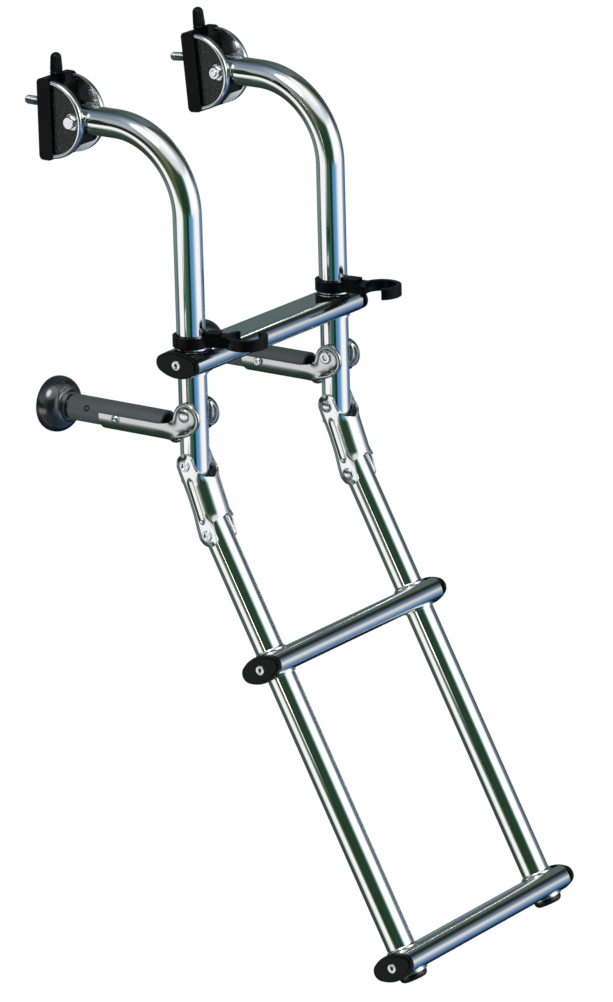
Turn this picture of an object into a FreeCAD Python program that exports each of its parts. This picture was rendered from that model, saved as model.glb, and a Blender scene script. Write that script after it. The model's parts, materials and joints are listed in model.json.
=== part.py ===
import FreeCAD, Part
import os
import re
import Sketcher
from FreeCAD import Placement, Rotation, Vector

# A folding stainless swim ladder with nylon brackets, two standoff legs,
# a top step on the fixed section and two steps on the folding section.
# Millimetres, +Z up. The origin is the middle of the left bracket's back face,
# level with its pivot bolt. +Y points into the boat, the climber stands at -Y.

# Driving sizes. Each can be changed by itself.
SIZES = {
    "tube_od": 25.0,
    "tube_wall": 1.5,
    "stile_spacing": 208.0,
    "bend_radius": 72.0,
    "run_straight": 36.0,
    "upper_drop": 287.5,
    "step_depth": 40.0,
    "step_thick": 20.0,
    "step_wall": 1.5,
    "step_overhang": 18.5,
    "weld_leg": 1.5,
    "weld_gap": 0.05,
    "top_step_rise": 91.0,
    "cap_flange": 3.0,
    "cap_lip": 1.7,
    "cap_rise": 1.9,
    "cap_end_radius": 8.0,
    "cap_crown": 1.2,
    "cap_crown_inset": 2.5,
    "cap_plug_gap": 1.5,
    "plug_gap": 0.1,
    "base_width": 38.0,
    "base_thick": 14.0,
    "base_height": 71.0,
    "base_corner": 4.0,
    "bolt_setback": 33.0,
    "bolt_radius": 3.0,
    "bolt_head_across": 10.0,
    "bolt_head_thick": 4.2,
    "washer_radius": 6.5,
    "washer_thick": 1.2,
    "pin_gap": 0.05,
    "side_gap": 0.4,
    "cheek_thick": 2.0,
    "cheek_half": 34.0,
    "cheek_reach": 31.0,
    "cheek_rim_width": 3.2,
    "cheek_rim_reach": 5.5,
    "core_height": 62.0,
    "core_seat_gap": 0.7,
    "core_shelf_reach": 22.0,
    "core_shelf_thick": 8.0,
    "core_lug_root": 15.0,
    "core_lug_height": 8.0,
    "core_lug_width": 9.0,
    "core_side_gap": 0.1,
    "stud_radius": 4.0,
    "stud_height": 10.0,
    "stud_reach": 26.0,
    "stud_depth": 12.0,
    "stud_neck": 1.0,
    "stud_shank": 0.6,
    "stud_relief": 1.0,
    "release_pin_radius": 2.5,
    "release_pin_place": 7.0,
    "knob_radius": 5.6,
    "knob_tip_radius": 5.0,
    "knob_height": 19.0,
    "knob_seat_gap": 0.3,
    "bracket_turn": 5.2,
    "hook_height": 9.5,
    "hook_seat_gap": 1.0,
    "hook_bore_gap": 0.3,
    "hook_ring_wall": 3.2,
    "hook_clip_gap": 0.9,
    "hook_clip_wall": 4.8,
    "hook_mouth": 20.0,
    "hook_neck": 14.0,
    "hook_boss_start": 14.0,
    "hook_boss_end": 26.0,
    "hook_boss_width": 12.0,
    "hook_boss_rise": 2.6,
    "left_hook_turn": 25.0,
    "right_hook_turn": 5.0,
    "leg_rise": 44.5,
    "leg_axis_drop": 14.5,
    "leg_tube_radius": 11.5,
    "leg_tube_wall": 3.0,
    "leg_tube_start": 27.5,
    "leg_tube_end": 128.0,
    "leg_trough_gap": 0.3,
    "leg_trough_start": 15.0,
    "leg_trough_end": 92.0,
    "leg_trough_wall_top": 11.3,
    "leg_ear_radius": 13.5,
    "leg_ear_out": 3.0,
    "leg_ear_low": 2.0,
    "leg_ear_base": 8.0,
    "leg_ear_rim_width": 3.0,
    "leg_ear_rim_rise": 1.6,
    "leg_ear_thick": 1.5,
    "leg_ear_run": 18.0,
    "leg_bolt_radius": 3.0,
    "leg_bolt_head": 5.5,
    "leg_bolt_head_thick": 3.0,
    "leg_screw_radius": 2.0,
    "leg_screw_head": 4.5,
    "leg_screw_place": 74.0,
    "foot_radius": 24.5,
    "foot_round": 12.0,
    "foot_rim": 8.0,
    "foot_edge": 2.0,
    "foot_land": 1.5,
    "foot_groove": 2.5,
    "foot_groove_depth": 1.0,
    "foot_socket": 10.0,
    "link_length": 62.5,
    "link_angle": 20.0,
    "link_lobe_radius": 10.5,
    "link_rim": 16.0,
    "link_thick": 2.0,
    "link_hip": 4.0,
    "link_edge_width": 2.2,
    "link_edge_rise": 0.8,
    "link_slot_half": 19.5,
    "link_slot_radius": 2.4,
    "link_slot_depth": 0.9,
    "rivet_radius": 4.0,
    "rivet_head_radius": 5.6,
    "rivet_head_thick": 2.2,
    "stile_tail": 17.0,
    "stile_end_gap": 0.5,
    "lower_angle": 28.0,
    "middle_step_run": 122.5,
    "step_spacing": 277.0,
    "lower_end": 12.0,
    "foot_plug_height": 5.5,
    "foot_plug_round": 4.5,
    "foot_plug_depth": 14.0,
    "fold_link_angle": 99.0,
    "fold_lean": 8.0,
}

doc = FreeCAD.newDocument("swim_ladder")
sheet = doc.addObject("Spreadsheet::Sheet", "Sizes")
for row, (alias, size) in enumerate(SIZES.items(), start=1):
    sheet.set(f"A{row}", alias)
    sheet.set(f"B{row}", str(size))
    sheet.setAlias(f"B{row}", alias)
doc.recompute()

nodes = []


# Places that several pieces share, worked out from the driving sizes.
STILE_Y = "(0 - bolt_setback - run_straight - bend_radius)"
PIVOT_Z = "(0 - upper_drop)"
LOWER_Y = f"({STILE_Y} - link_length * sin(link_angle * 1 deg))"
LOWER_Z = f"({PIVOT_Z} - link_length * cos(link_angle * 1 deg))"
SIDE_IN = "(tube_od / 2 + side_gap)"
HOOK_RISE = "(top_step_rise + step_thick / 2 + weld_leg + hook_seat_gap)"
HOOK_MID_RISE = f"({HOOK_RISE} + hook_height / 2)"
FOLD_RISE = "(0 - link_length * cos(fold_link_angle * 1 deg))"
HOOK_REACH = (f"(link_length * sin(fold_link_angle * 1 deg)"
              f" - ({HOOK_MID_RISE} - {FOLD_RISE}) * tan(fold_lean * 1 deg))")


def sized(text):
    """Point each driving size named in an expression at its cell."""
    return re.sub(r"[a-z][a-z_]*", lambda word: "Sizes." + word[0] if word[0] in SIZES else word[0],
                  text)


def value(text):
    """The number that an expression of driving sizes gives."""
    result = sheet.evalExpression(sized(text))
    return float(getattr(result, "Value", result))


def bind(obj, prop, text):
    obj.setExpression(prop, sized(text))


def place(obj, x="0", y="0", z="0", turn="0"):
    """Put a piece at a point, turned about the X direction."""
    obj.Placement = Placement(Vector(), Rotation(Vector(1, 0, 0), 10))
    bind(obj, "Placement.Base.x", x)
    bind(obj, "Placement.Base.y", y)
    bind(obj, "Placement.Base.z", z)
    bind(obj, "Placement.Rotation.Angle", f"({turn}) * 1 deg")


def new_body(name):
    body = doc.addObject("PartDesign::Body", name)
    body.Label = name
    return body


def new_node(name):
    body = new_body(name)
    nodes.append(body)
    return body


def new_sketch(body, role, offset="0"):
    """A sketch on one of the body's own origin planes, set off along its normal."""
    base = [item for item in body.Origin.OriginFeatures if item.Role == role][0]
    sketch = body.newObject("Sketcher::SketchObject", body.Name + "_sketch")
    sketch.AttachmentSupport = (base, [""])
    sketch.MapMode = "FlatFace"
    bind(sketch, "AttachmentOffset.Base.z", offset)
    return sketch


def pin_point(sketch, geometry, end, x, y):
    """Hold one end of a line or arc at a place given by two expressions."""
    for kind, text in (("DistanceX", x), ("DistanceY", y)):
        index = sketch.addConstraint(Sketcher.Constraint(kind, -1, 1, geometry, end, value(text)))
        bind(sketch, f"Constraints[{index}]", text)


def mirrored(text, flip):
    return f"0 - ({text})" if flip else text


def draw_outline(sketch, points, flip=False, closed=True):
    """Draw an outline through points, each (x, y) or, before an arc, (x, y, radius, sense)."""
    count = len(points)
    last = count if closed else count - 1
    pieces = []
    for index in range(last):
        start, stop = points[index], points[(index + 1) % count]
        x0, y0 = value(mirrored(start[0], flip)), value(start[1])
        x1, y1 = value(mirrored(stop[0], flip)), value(stop[1])
        if len(start) == 2:
            pieces.append((sketch.addGeometry(Part.LineSegment(Vector(x0, y0), Vector(x1, y1))), 1, 2))
            continue
        radius = value(start[2])
        sense = -start[3] if flip else start[3]
        half = Vector(x1 - x0, y1 - y0) * 0.5
        lift = max(radius ** 2 - half.Length ** 2, 0.0) ** 0.5
        across = Vector(-half.y, half.x).normalize() * (lift * sense)
        centre = Vector(x0, y0) + half + across
        ends = (Vector(x0, y0), Vector(x1, y1)) if sense > 0 else (Vector(x1, y1), Vector(x0, y0))
        circle = Part.Circle(centre, Vector(0, 0, 1), radius)
        arc = Part.ArcOfCircle(circle, circle.parameter(ends[0]), circle.parameter(ends[1]))
        geometry = sketch.addGeometry(arc)
        ring = sketch.addConstraint(Sketcher.Constraint("Radius", geometry, radius))
        bind(sketch, f"Constraints[{ring}]", start[2])
        pieces.append((geometry, 1, 2) if sense > 0 else (geometry, 2, 1))
    for index, (geometry, first, second) in enumerate(pieces):
        x, y = points[index][:2]
        pin_point(sketch, geometry, first, mirrored(x, flip), y)
        if closed or index + 1 < len(pieces):
            after = pieces[(index + 1) % len(pieces)]
            sketch.addConstraint(Sketcher.Constraint("Coincident", geometry, second, after[0], after[1]))
    if not closed:
        geometry, first, second = pieces[-1]
        x, y = points[-1][:2]
        pin_point(sketch, geometry, second, mirrored(x, flip), y)


def draw_circle(sketch, x, y, radius):
    geometry = sketch.addGeometry(Part.Circle(Vector(value(x), value(y)), Vector(0, 0, 1), value(radius)))
    ring = sketch.addConstraint(Sketcher.Constraint("Radius", geometry, value(radius)))
    bind(sketch, f"Constraints[{ring}]", radius)
    pin_point(sketch, geometry, 3, x, y)


def rectangle(x0, y0, x1, y1):
    return [(x0, y0), (x1, y0), (x1, y1), (x0, y1)]


def stadium(depth, thick, across="0", up="0"):
    """A flat oval section, round at both ends, centred at a point."""
    flat = f"(({depth}) - ({thick})) / 2"
    ball = f"({thick}) / 2"
    return [
        (f"{across} - {flat}", f"{up} - {ball}"),
        (f"{across} + {flat}", f"{up} - {ball}", ball, 1),
        (f"{across} + ({depth}) / 2", up, ball, 1),
        (f"{across} + {flat}", f"{up} + {ball}"),
        (f"{across} - {flat}", f"{up} + {ball}", ball, 1),
        (f"{across} - ({depth}) / 2", up, ball, 1),
    ]


def oval(half_depth, half_thick, end, across="0", up="0"):
    """A full oval of four arcs that run into each other, centred at a point."""
    run = f"({half_depth} - {end})"
    big = f"(({run} * {run} + {half_thick} * {half_thick} - {end} * {end}) / 2 / ({half_thick} - {end}))"
    join_x = f"({run} + {end} * {run} / ({big} - {end}))"
    join_y = f"({end} * ({big} - {half_thick}) / ({big} - {end}))"
    return [
        (f"{across} + {half_depth}", up, end, 1),
        (f"{across} + {join_x}", f"{up} + {join_y}", big, 1),
        (f"{across} - {join_x}", f"{up} + {join_y}", end, 1),
        (f"{across} - {half_depth}", up, end, 1),
        (f"{across} - {join_x}", f"{up} - {join_y}", big, 1),
        (f"{across} + {join_x}", f"{up} - {join_y}", end, 1),
    ]


def bow(half, reach):
    """Radius of the arc that stands out by reach over a straight edge of twice half."""
    return f"(({half} * {half} + {reach} * {reach}) / 2 / {reach})"


def pad(body, sketch, length, both=False, back=False):
    feature = body.newObject("PartDesign::Pad", body.Name + "_pad")
    feature.Profile = sketch
    feature.SideType = "Symmetric" if both else "One side"
    feature.Reversed = back
    bind(feature, "Length", length)
    return feature


def pocket(body, sketch, length="0", both=False, back=False):
    feature = body.newObject("PartDesign::Pocket", body.Name + "_pocket")
    feature.Profile = sketch
    feature.SideType = "Symmetric" if both else "One side"
    feature.Reversed = back
    feature.Type = 0
    bind(feature, "Length", length)
    return feature


def turned(name, outline, node=True):
    """A turned piece: its outline is (radius, height) points, and its axis is Z."""
    body = new_node(name) if node else new_body(name)
    sketch = new_sketch(body, "XZ_Plane")
    draw_outline(sketch, outline)
    feature = body.newObject("PartDesign::Revolution", name + "_turn")
    feature.Profile = sketch
    feature.ReferenceAxis = (sketch, ["V_Axis"])
    feature.Angle = 360
    return body


def drilled(body, role, x, y, radius, length, offset="0"):
    """Bore a round hole both ways from a plane of the body."""
    sketch = new_sketch(body, role, offset)
    draw_circle(sketch, x, y, radius)
    return pocket(body, sketch, length, both=True)


def fused(name, pieces):
    """Join primitives into one solid that is a node."""
    joined = doc.addObject("Part::MultiFuse", name)
    joined.Shapes = pieces
    joined.Refine = True
    joined.Label = name
    nodes.append(joined)
    return joined


def grouped(name, pieces):
    """Like pieces that don't touch, kept in one node."""
    group = doc.addObject("Part::Compound", name)
    group.Links = pieces
    group.Label = name
    nodes.append(group)
    return group


# Upper section

def upper_stile(name, x):
    """A bent tube: straight down from the bend, level from the bend to the bracket bolt."""
    body = new_node(name)
    bolt, radius = "0 - bolt_setback", "tube_od / 2"
    stile_foot = f"({PIVOT_Z} - stile_tail)"
    path = new_sketch(body, "YZ_Plane")
    draw_outline(path, [
        (STILE_Y, stile_foot),
        (STILE_Y, "0 - bend_radius", "bend_radius", -1),
        (f"{STILE_Y} + bend_radius", "0"),
        (f"{bolt} + {radius}", "0"),
    ], closed=False)
    section = new_sketch(body, "XY_Plane", stile_foot)
    draw_circle(section, "0", STILE_Y, radius)
    draw_circle(section, "0", STILE_Y, f"{radius} - tube_wall")
    pipe = body.newObject("PartDesign::AdditivePipe", name + "_pipe")
    pipe.Profile = section
    pipe.Spine = (path, ["Edge1", "Edge2", "Edge3"])
    doc.recompute()
    # the end is rounded about the bolt, so that it turns in its seat
    corners = new_sketch(body, "YZ_Plane")
    draw_outline(corners, [
        (bolt, radius, radius, -1),
        (f"{bolt} + {radius}", "0", radius, -1),
        (bolt, f"0 - {radius}"),
        (bolt, "0 - tube_od"),
        (f"{bolt} + tube_od", "0 - tube_od"),
        (f"{bolt} + tube_od", "tube_od"),
        (bolt, "tube_od"),
    ])
    pocket(body, corners, "2 * tube_od", both=True)
    bores = ((bolt, "0", "bolt_radius"),
             (STILE_Y, PIVOT_Z, "rivet_radius"),
             (STILE_Y, f"{PIVOT_Z} + leg_rise", "leg_bolt_radius"))
    for y, z, bore in bores:
        drilled(body, "YZ_Plane", y, z, f"{bore} + pin_gap", "2 * tube_od")
    place(body, x=x)
    return body


def oval_step(name, across, up):
    """A flat oval tube with a round hole for each stile and a weld bead round each hole."""
    body = new_node(name)
    start = "0 - step_overhang"
    length = "stile_spacing + 2 * step_overhang"
    section = new_sketch(body, "YZ_Plane", start)
    draw_outline(section, stadium("step_depth", "step_thick", across, up))
    pad(body, section, length)
    for x in ("0", "stile_spacing"):
        bead = new_sketch(body, "XY_Plane", up)
        draw_circle(bead, x, across, "tube_od / 2 + weld_leg")
        pad(body, bead, "step_thick + 2 * weld_leg", both=True)
    hollow = new_sketch(body, "YZ_Plane", start)
    draw_outline(hollow, stadium("step_depth - 2 * step_wall", "step_thick - 2 * step_wall", across, up))
    pocket(body, hollow, length, back=True)
    for x in ("0", "stile_spacing"):
        drilled(body, "XY_Plane", x, across, "tube_od / 2 + weld_gap", "4 * step_thick", up)
    return body


def end_cap(name, across, up, right):
    """A crowned oval nylon cap whose plug fits in the open end of a step."""
    body = new_body(name)
    end = "stile_spacing + step_overhang" if right else "0 - step_overhang"
    half_depth, half_thick = "(step_depth / 2 + cap_lip)", "(step_thick / 2 + cap_rise)"
    for inset, thick in (("0", "cap_flange"), ("cap_crown_inset", "cap_flange + cap_crown")):
        flange = new_sketch(body, "YZ_Plane", end)
        draw_outline(flange, oval(f"({half_depth} - {inset})", f"({half_thick} - {inset})",
                                  f"(cap_end_radius - {inset})", across, up))
        pad(body, flange, thick, back=not right)
    plug = new_sketch(body, "YZ_Plane", end)
    inset = "2 * (step_wall + plug_gap)"
    draw_outline(plug, stadium(f"step_depth - {inset}", f"step_thick - {inset}", across, up))
    pad(body, plug, "step_overhang - tube_od / 2 - cap_plug_gap", back=right)
    return body


def step_caps(name, across, up):
    return [end_cap(name + side, across, up, side == "_right") for side in ("_left", "_right")]


# Brackets: each is drawn about its own back face, level with the bolt

def bracket_base(name):
    """A rounded nylon slab, bored for the mounting stud and for the release pin."""
    body = new_node(name)
    outline = new_sketch(body, "YZ_Plane")
    top = "base_height / 2"
    draw_outline(outline, [
        ("0", f"0 - {top} + base_corner"),
        ("0", f"{top} - base_corner", "base_corner", 1),
        ("0 - base_corner", top),
        ("base_corner - base_thick", top, "base_corner", 1),
        ("0 - base_thick", f"{top} - base_corner"),
        ("0 - base_thick", f"0 - {top} + base_corner", "base_corner", 1),
        ("base_corner - base_thick", f"0 - {top}"),
        ("0 - base_corner", f"0 - {top}", "base_corner", 1),
    ])
    pad(body, outline, "base_width", both=True)
    drilled(body, "XZ_Plane", "0", "stud_height", "stud_radius + stud_shank + pin_gap",
            "2 * stud_depth")
    well = new_sketch(body, "XY_Plane", "stud_height")
    draw_circle(well, "0", "0 - release_pin_place", "release_pin_radius + pin_gap")
    pocket(body, well, "base_height", back=True)
    return body


def bracket_cheek(name, side):
    """A half-round steel plate with its rim turned outward, on one side of the tube."""
    body = new_node(name)
    inner = "0 + " + SIDE_IN if side > 0 else "0 - " + SIDE_IN
    back = side < 0
    face = "0 - base_thick"
    half, reach = "cheek_half", "cheek_reach"
    curve = bow(half, reach)
    plate = new_sketch(body, "YZ_Plane", inner)
    draw_outline(plate, [
        (face, half, curve, 1),
        (f"{face} - {reach}", "0", curve, 1),
        (face, f"0 - {half}"),
    ])
    pad(body, plate, "cheek_thick", back=back)
    inner_half, inner_reach = "(cheek_half - cheek_rim_width)", "(cheek_reach - cheek_rim_width)"
    inner_curve = bow(inner_half, inner_reach)
    rim = new_sketch(body, "YZ_Plane", inner)
    draw_outline(rim, [
        (face, half, curve, 1),
        (f"{face} - {reach}", "0", curve, 1),
        (face, f"0 - {half}"),
        (face, f"0 - {inner_half}", inner_curve, -1),
        (f"{face} - {inner_reach}", "0", inner_curve, -1),
        (face, inner_half),
    ])
    pad(body, rim, "cheek_rim_reach", back=back)
    drilled(body, "YZ_Plane", "0 - bolt_setback", "0", "bolt_radius + pin_gap", "4 * tube_od")
    return body


def bracket_core(name):
    """The nylon block between the cheeks: a round seat behind the tube and a stop under it."""
    body = new_node(name)
    width = f"2 * ({SIDE_IN} - core_side_gap)"
    seat = "(tube_od / 2 + core_seat_gap)"
    front = f"(0 - bolt_setback + {seat})"
    stop_top = f"(0 - {seat})"
    outline = new_sketch(body, "YZ_Plane")
    draw_outline(outline, [
        ("0 - base_thick", "core_height / 2"),
        (front, "core_height / 2"),
        (front, "0", seat, -1),
        ("0 - bolt_setback", stop_top),
        ("0 - base_thick - core_shelf_reach", stop_top),
        ("0 - base_thick - core_shelf_reach", f"{stop_top} - core_shelf_thick"),
        ("0 - base_thick", f"{stop_top} - core_shelf_thick"),
    ])
    pad(body, outline, width, both=True)
    lug = new_sketch(body, "YZ_Plane")
    draw_outline(lug, rectangle("0 - base_thick", "core_lug_root", front,
                                "core_height / 2 + core_lug_height"))
    pad(body, lug, "core_lug_width", both=True)
    return body


def bracket_bolt(name):
    """A hexagon bolt through both cheeks and the tube, with washers and a nut."""
    outside = f"({SIDE_IN} + cheek_thick)"
    pieces = []
    shank = doc.addObject("Part::Cylinder", name + "_shank")
    bind(shank, "Radius", "bolt_radius")
    bind(shank, "Height", f"2 * ({outside} + washer_thick + bolt_head_thick)")
    bind(shank, "Placement.Base.z", f"0 - {outside} - washer_thick - bolt_head_thick")
    pieces.append(shank)
    for end in (-1, 1):
        washer = doc.addObject("Part::Cylinder", name + "_washer")
        bind(washer, "Radius", "washer_radius")
        bind(washer, "Height", "washer_thick")
        low = f"0 - {outside} - washer_thick" if end < 0 else outside
        bind(washer, "Placement.Base.z", low)
        head = doc.addObject("Part::Prism", name + "_head")
        head.Polygon = 6
        bind(head, "Circumradius", "bolt_head_across / 2 / cos(30 deg)")
        bind(head, "Height", "bolt_head_thick")
        far = (f"0 - {outside} - washer_thick - bolt_head_thick" if end < 0
               else f"{outside} + washer_thick")
        bind(head, "Placement.Base.z", far)
        pieces += [washer, head]
    return fused(name, pieces)


def mount_stud(name):
    """A stud with its thread behind the slab, and in it a thicker shank with a neck for the pin."""
    place_in = "release_pin_place - release_pin_radius - pin_gap"
    place_out = "release_pin_place + release_pin_radius + pin_gap"
    neck = "stud_radius - stud_neck"
    shank = "stud_radius + stud_shank"
    return turned(name, [
        ("0", "0 - stud_depth"),
        (shank, "0 - stud_depth"),
        (shank, f"0 - ({place_out})"),
        (neck, f"0 - ({place_out})"),
        (neck, f"0 - ({place_in})"),
        (shank, f"0 - ({place_in})"),
        (shank, "0"),
        (neck, "0"),
        (neck, "stud_relief"),
        ("stud_radius", "stud_relief"),
        ("stud_radius", "stud_reach"),
        ("0", "stud_reach"),
    ])


def release_pin(name):
    """A pull knob on a pin that drops through the slab onto the stud's neck."""
    seat = "(base_height / 2 + knob_seat_gap)"
    tip = "(stud_height + stud_radius - stud_neck + knob_seat_gap)"
    return turned(name, [
        ("0", tip),
        ("release_pin_radius", tip),
        ("release_pin_radius", seat),
        ("knob_radius", seat),
        ("knob_tip_radius", f"{seat} + knob_height - knob_tip_radius", "knob_tip_radius", 1),
        ("0", f"{seat} + knob_height"),
    ])


def bracket(side, x, turn):
    """One complete bracket, turned on its bolt by an angle."""
    pieces = [
        bracket_base(f"{side}_bracket_base"),
        bracket_cheek(f"{side}_bracket_left_cheek", -1),
        bracket_cheek(f"{side}_bracket_right_cheek", 1),
        bracket_core(f"{side}_bracket_core"),
    ]
    # turned about the bolt axis, which lies at -bolt_setback
    y = f"bolt_setback * (cos(({turn}) * 1 deg) - 1)"
    z = f"bolt_setback * sin(({turn}) * 1 deg)"
    for piece in pieces:
        place(piece, x, y, z, turn)
    bolt = bracket_bolt(f"{side}_bracket_bolt")
    bolt.Placement = Placement(Vector(), Rotation(Vector(0, 1, 0), 90))
    bind(bolt, "Placement.Base.x", x)
    bind(bolt, "Placement.Base.y", "0 - bolt_setback")
    stud = mount_stud(f"{side}_mount_stud")
    place(stud, x, f"{y} - stud_height * sin(({turn}) * 1 deg)",
          f"{z} + stud_height * cos(({turn}) * 1 deg)", f"{turn} - 90")
    pin = release_pin(f"{side}_release_pin")
    place(pin, x, f"{y} - release_pin_place * cos(({turn}) * 1 deg)",
          f"{z} - release_pin_place * sin(({turn}) * 1 deg)", turn)


# Swivel hooks that hold the folded section

def stile_hook(name, x, flip, swivel):
    """A nylon ring round the stile, a short arm, and a C clip that opens inward."""
    body = new_node(name)
    ring = "(tube_od / 2 + hook_bore_gap + hook_ring_wall)"
    clip_bore = "(tube_od / 2 + hook_clip_gap)"
    clip = f"({clip_bore} + hook_clip_wall)"
    reach = f"(0 - {HOOK_REACH})"
    half_mouth = "(hook_mouth / 2)"
    for centre, radius in (("0", ring), (reach, clip)):
        disc = new_sketch(body, "XY_Plane")
        draw_circle(disc, "0", centre, radius)
        pad(body, disc, "hook_height")
    neck = new_sketch(body, "XY_Plane")
    draw_outline(neck, rectangle("0 - hook_neck / 2", reach, "hook_neck / 2", "0"))
    pad(body, neck, "hook_height")
    drilled(body, "XY_Plane", "0", "0", "tube_od / 2 + hook_bore_gap", "4 * hook_height")
    drilled(body, "XY_Plane", "0", reach, clip_bore, "4 * hook_height")
    mouth = new_sketch(body, "XY_Plane")
    low, high = f"{reach} - {half_mouth}", f"{reach} + {half_mouth}"
    draw_outline(mouth, rectangle("0", low, f"{clip} + hook_clip_wall", high), flip)
    pocket(body, mouth, "4 * hook_height", both=True)
    boss = new_sketch(body, "XY_Plane", "hook_height")
    draw_outline(boss, rectangle("0 - hook_boss_width / 2", "0 - hook_boss_end",
                                 "hook_boss_width / 2", "0 - hook_boss_start"))
    pad(body, boss, "hook_boss_rise")
    # each jaw ends in a round lip
    middle = f"({clip_bore} + hook_clip_wall / 2)"
    across = f"sqrt({middle} * {middle} - {half_mouth} * {half_mouth})"
    for side in (-1, 1):
        lip = new_sketch(body, "XY_Plane")
        draw_circle(lip, mirrored(across, flip), f"{reach} + {side} * {half_mouth}", "hook_clip_wall / 2")
        pad(body, lip, "hook_height")
    place(body, x, STILE_Y, f"{PIVOT_Z} + {HOOK_RISE}")
    body.Placement = Placement(Vector(), Rotation(Vector(0, 0, 1), 10))
    bind(body, "Placement.Rotation.Angle", f"({swivel}) * 1 deg")
    return body


# Standoff legs: drawn hanging from the ear bolt, then turned level

LEG_PLACE = {"y": STILE_Y, "z": f"{PIVOT_Z} + leg_rise", "turn": "90"}
LEG_TROUGH_IN = "(leg_tube_radius + leg_trough_gap)"


def leg_channel(name, x):
    """A stamped steel trough, open on top, that ends in an ear on each side of the stile."""
    body = new_node(name)
    outer = f"({LEG_TROUGH_IN} + leg_ear_thick)"
    centre = "(0 - leg_axis_drop)"
    wall_top = "(0 - leg_trough_wall_top)"
    trough = new_sketch(body, "XY_Plane", "0 - leg_trough_end")
    draw_outline(trough, [
        (f"0 - {outer}", wall_top),
        (f"0 - {outer}", centre, outer, 1),
        ("0", f"{centre} - {outer}", outer, 1),
        (outer, centre),
        (outer, wall_top),
        (LEG_TROUGH_IN, wall_top),
        (LEG_TROUGH_IN, centre, LEG_TROUGH_IN, -1),
        ("0", f"{centre} - {LEG_TROUGH_IN}", LEG_TROUGH_IN, -1),
        (f"0 - {LEG_TROUGH_IN}", centre),
        (f"0 - {LEG_TROUGH_IN}", wall_top),
    ])
    pad(body, trough, "leg_trough_end - leg_trough_start")
    ear = "leg_ear_radius"
    base = f"({centre} - leg_ear_base)"
    top, bottom = f"({ear} - leg_ear_low)", f"(0 - {ear} - leg_ear_low)"
    out, inner = f"({ear} + leg_ear_out)", f"(leg_ear_out - {ear})"
    small = f"({ear} - leg_ear_rim_width)"
    rim_top, rim_bottom = f"({top} - leg_ear_rim_width)", f"({bottom} + leg_ear_rim_width)"
    rim_out, rim_inner = f"({out} - leg_ear_rim_width)", f"({inner} + leg_ear_rim_width)"
    for side in (-1, 1):
        plate = new_sketch(body, "YZ_Plane", f"{side} * {SIDE_IN}")
        draw_outline(plate, [
            (top, "leg_ear_out", ear, 1),
            ("0 - leg_ear_low", out, ear, 1),
            (bottom, "leg_ear_out"),
            (base, "0 - leg_trough_start"),
            (base, "0 - leg_trough_start - leg_ear_run"),
            (wall_top, "0 - leg_trough_start - leg_ear_run"),
            (wall_top, "0 - leg_trough_start"),
            ("0 - leg_ear_low", inner, ear, 1),
        ])
        pad(body, plate, "leg_ear_thick", back=side < 0)
        rim = new_sketch(body, "YZ_Plane", f"{side} * {SIDE_IN}")
        draw_outline(rim, [
            ("0 - leg_ear_low", inner, ear, 1),
            (top, "leg_ear_out", ear, 1),
            ("0 - leg_ear_low", out, ear, 1),
            (bottom, "leg_ear_out"),
            (rim_bottom, "leg_ear_out", small, -1),
            ("0 - leg_ear_low", rim_out, small, -1),
            (rim_top, "leg_ear_out", small, -1),
            ("0 - leg_ear_low", rim_inner),
        ])
        pad(body, rim, "leg_ear_thick + leg_ear_rim_rise", back=side < 0)
    drilled(body, "YZ_Plane", "0", "0", "leg_bolt_radius + pin_gap", "4 * tube_od")
    drilled(body, "YZ_Plane", centre, "0 - leg_screw_place", "leg_screw_radius + pin_gap", "4 * tube_od")
    place(body, x, **LEG_PLACE)
    return body


def leg_tube(name, x):
    """The round nylon tube that lies in the trough and carries the foot."""
    body = turned(name, [
        ("leg_tube_radius - leg_tube_wall", "0 - leg_tube_start"),
        ("leg_tube_radius - leg_tube_wall", "0 - leg_tube_end"),
        ("leg_tube_radius", "0 - leg_tube_end"),
        ("leg_tube_radius", "0 - leg_tube_start"),
    ])
    drilled(body, "YZ_Plane", "0", "0 - leg_screw_place", "leg_screw_radius + pin_gap", "4 * tube_od")
    place(body, x, STILE_Y, f"{PIVOT_Z} + leg_rise - leg_axis_drop", "90")
    return body


def leg_foot(name, x):
    """A rubber mushroom foot whose neck plugs the end of the tube."""
    inside = "(leg_tube_radius - leg_tube_wall - plug_gap)"
    groove = "(leg_tube_radius - foot_groove_depth)"
    neck = "(foot_radius - foot_round)"
    land = "(0 - leg_tube_end - foot_groove)"
    shoulder = f"({land} - foot_land)"
    rim = f"({shoulder} - foot_round)"
    face = f"({rim} - foot_rim - foot_edge)"
    body = turned(name, [
        ("0", "0 - leg_tube_end + foot_socket"),
        (inside, "0 - leg_tube_end + foot_socket"),
        (inside, "0 - leg_tube_end"),
        (groove, "0 - leg_tube_end"),
        (groove, land),
        (neck, land),
        (neck, shoulder, "foot_round", -1),
        ("foot_radius", rim),
        ("foot_radius", f"{face} + foot_edge", "foot_edge", -1),
        ("foot_radius - foot_edge", face),
        ("0", face),
    ])
    place(body, x, STILE_Y, f"{PIVOT_Z} + leg_rise - leg_axis_drop", "90")
    return body


def cross_pin(name, x, y, z, radius, half, head_radius, head_thick):
    """A plain pin across X with a domed head at each end."""
    top = f"({half} + {head_thick})"
    dome = f"({head_radius} * {head_radius} + {head_thick} * {head_thick}) / 2 / {head_thick}"
    body = turned(name, [
        ("0", f"0 - {top}", dome, 1),
        (head_radius, f"0 - {half}"),
        (radius, f"0 - {half}"),
        (radius, half),
        (head_radius, half, dome, 1),
        ("0", top),
    ])
    body.Placement = Placement(Vector(), Rotation(Vector(0, 1, 0), 90))
    bind(body, "Placement.Base.x", x)
    bind(body, "Placement.Base.y", y)
    bind(body, "Placement.Base.z", z)
    return body


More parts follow.
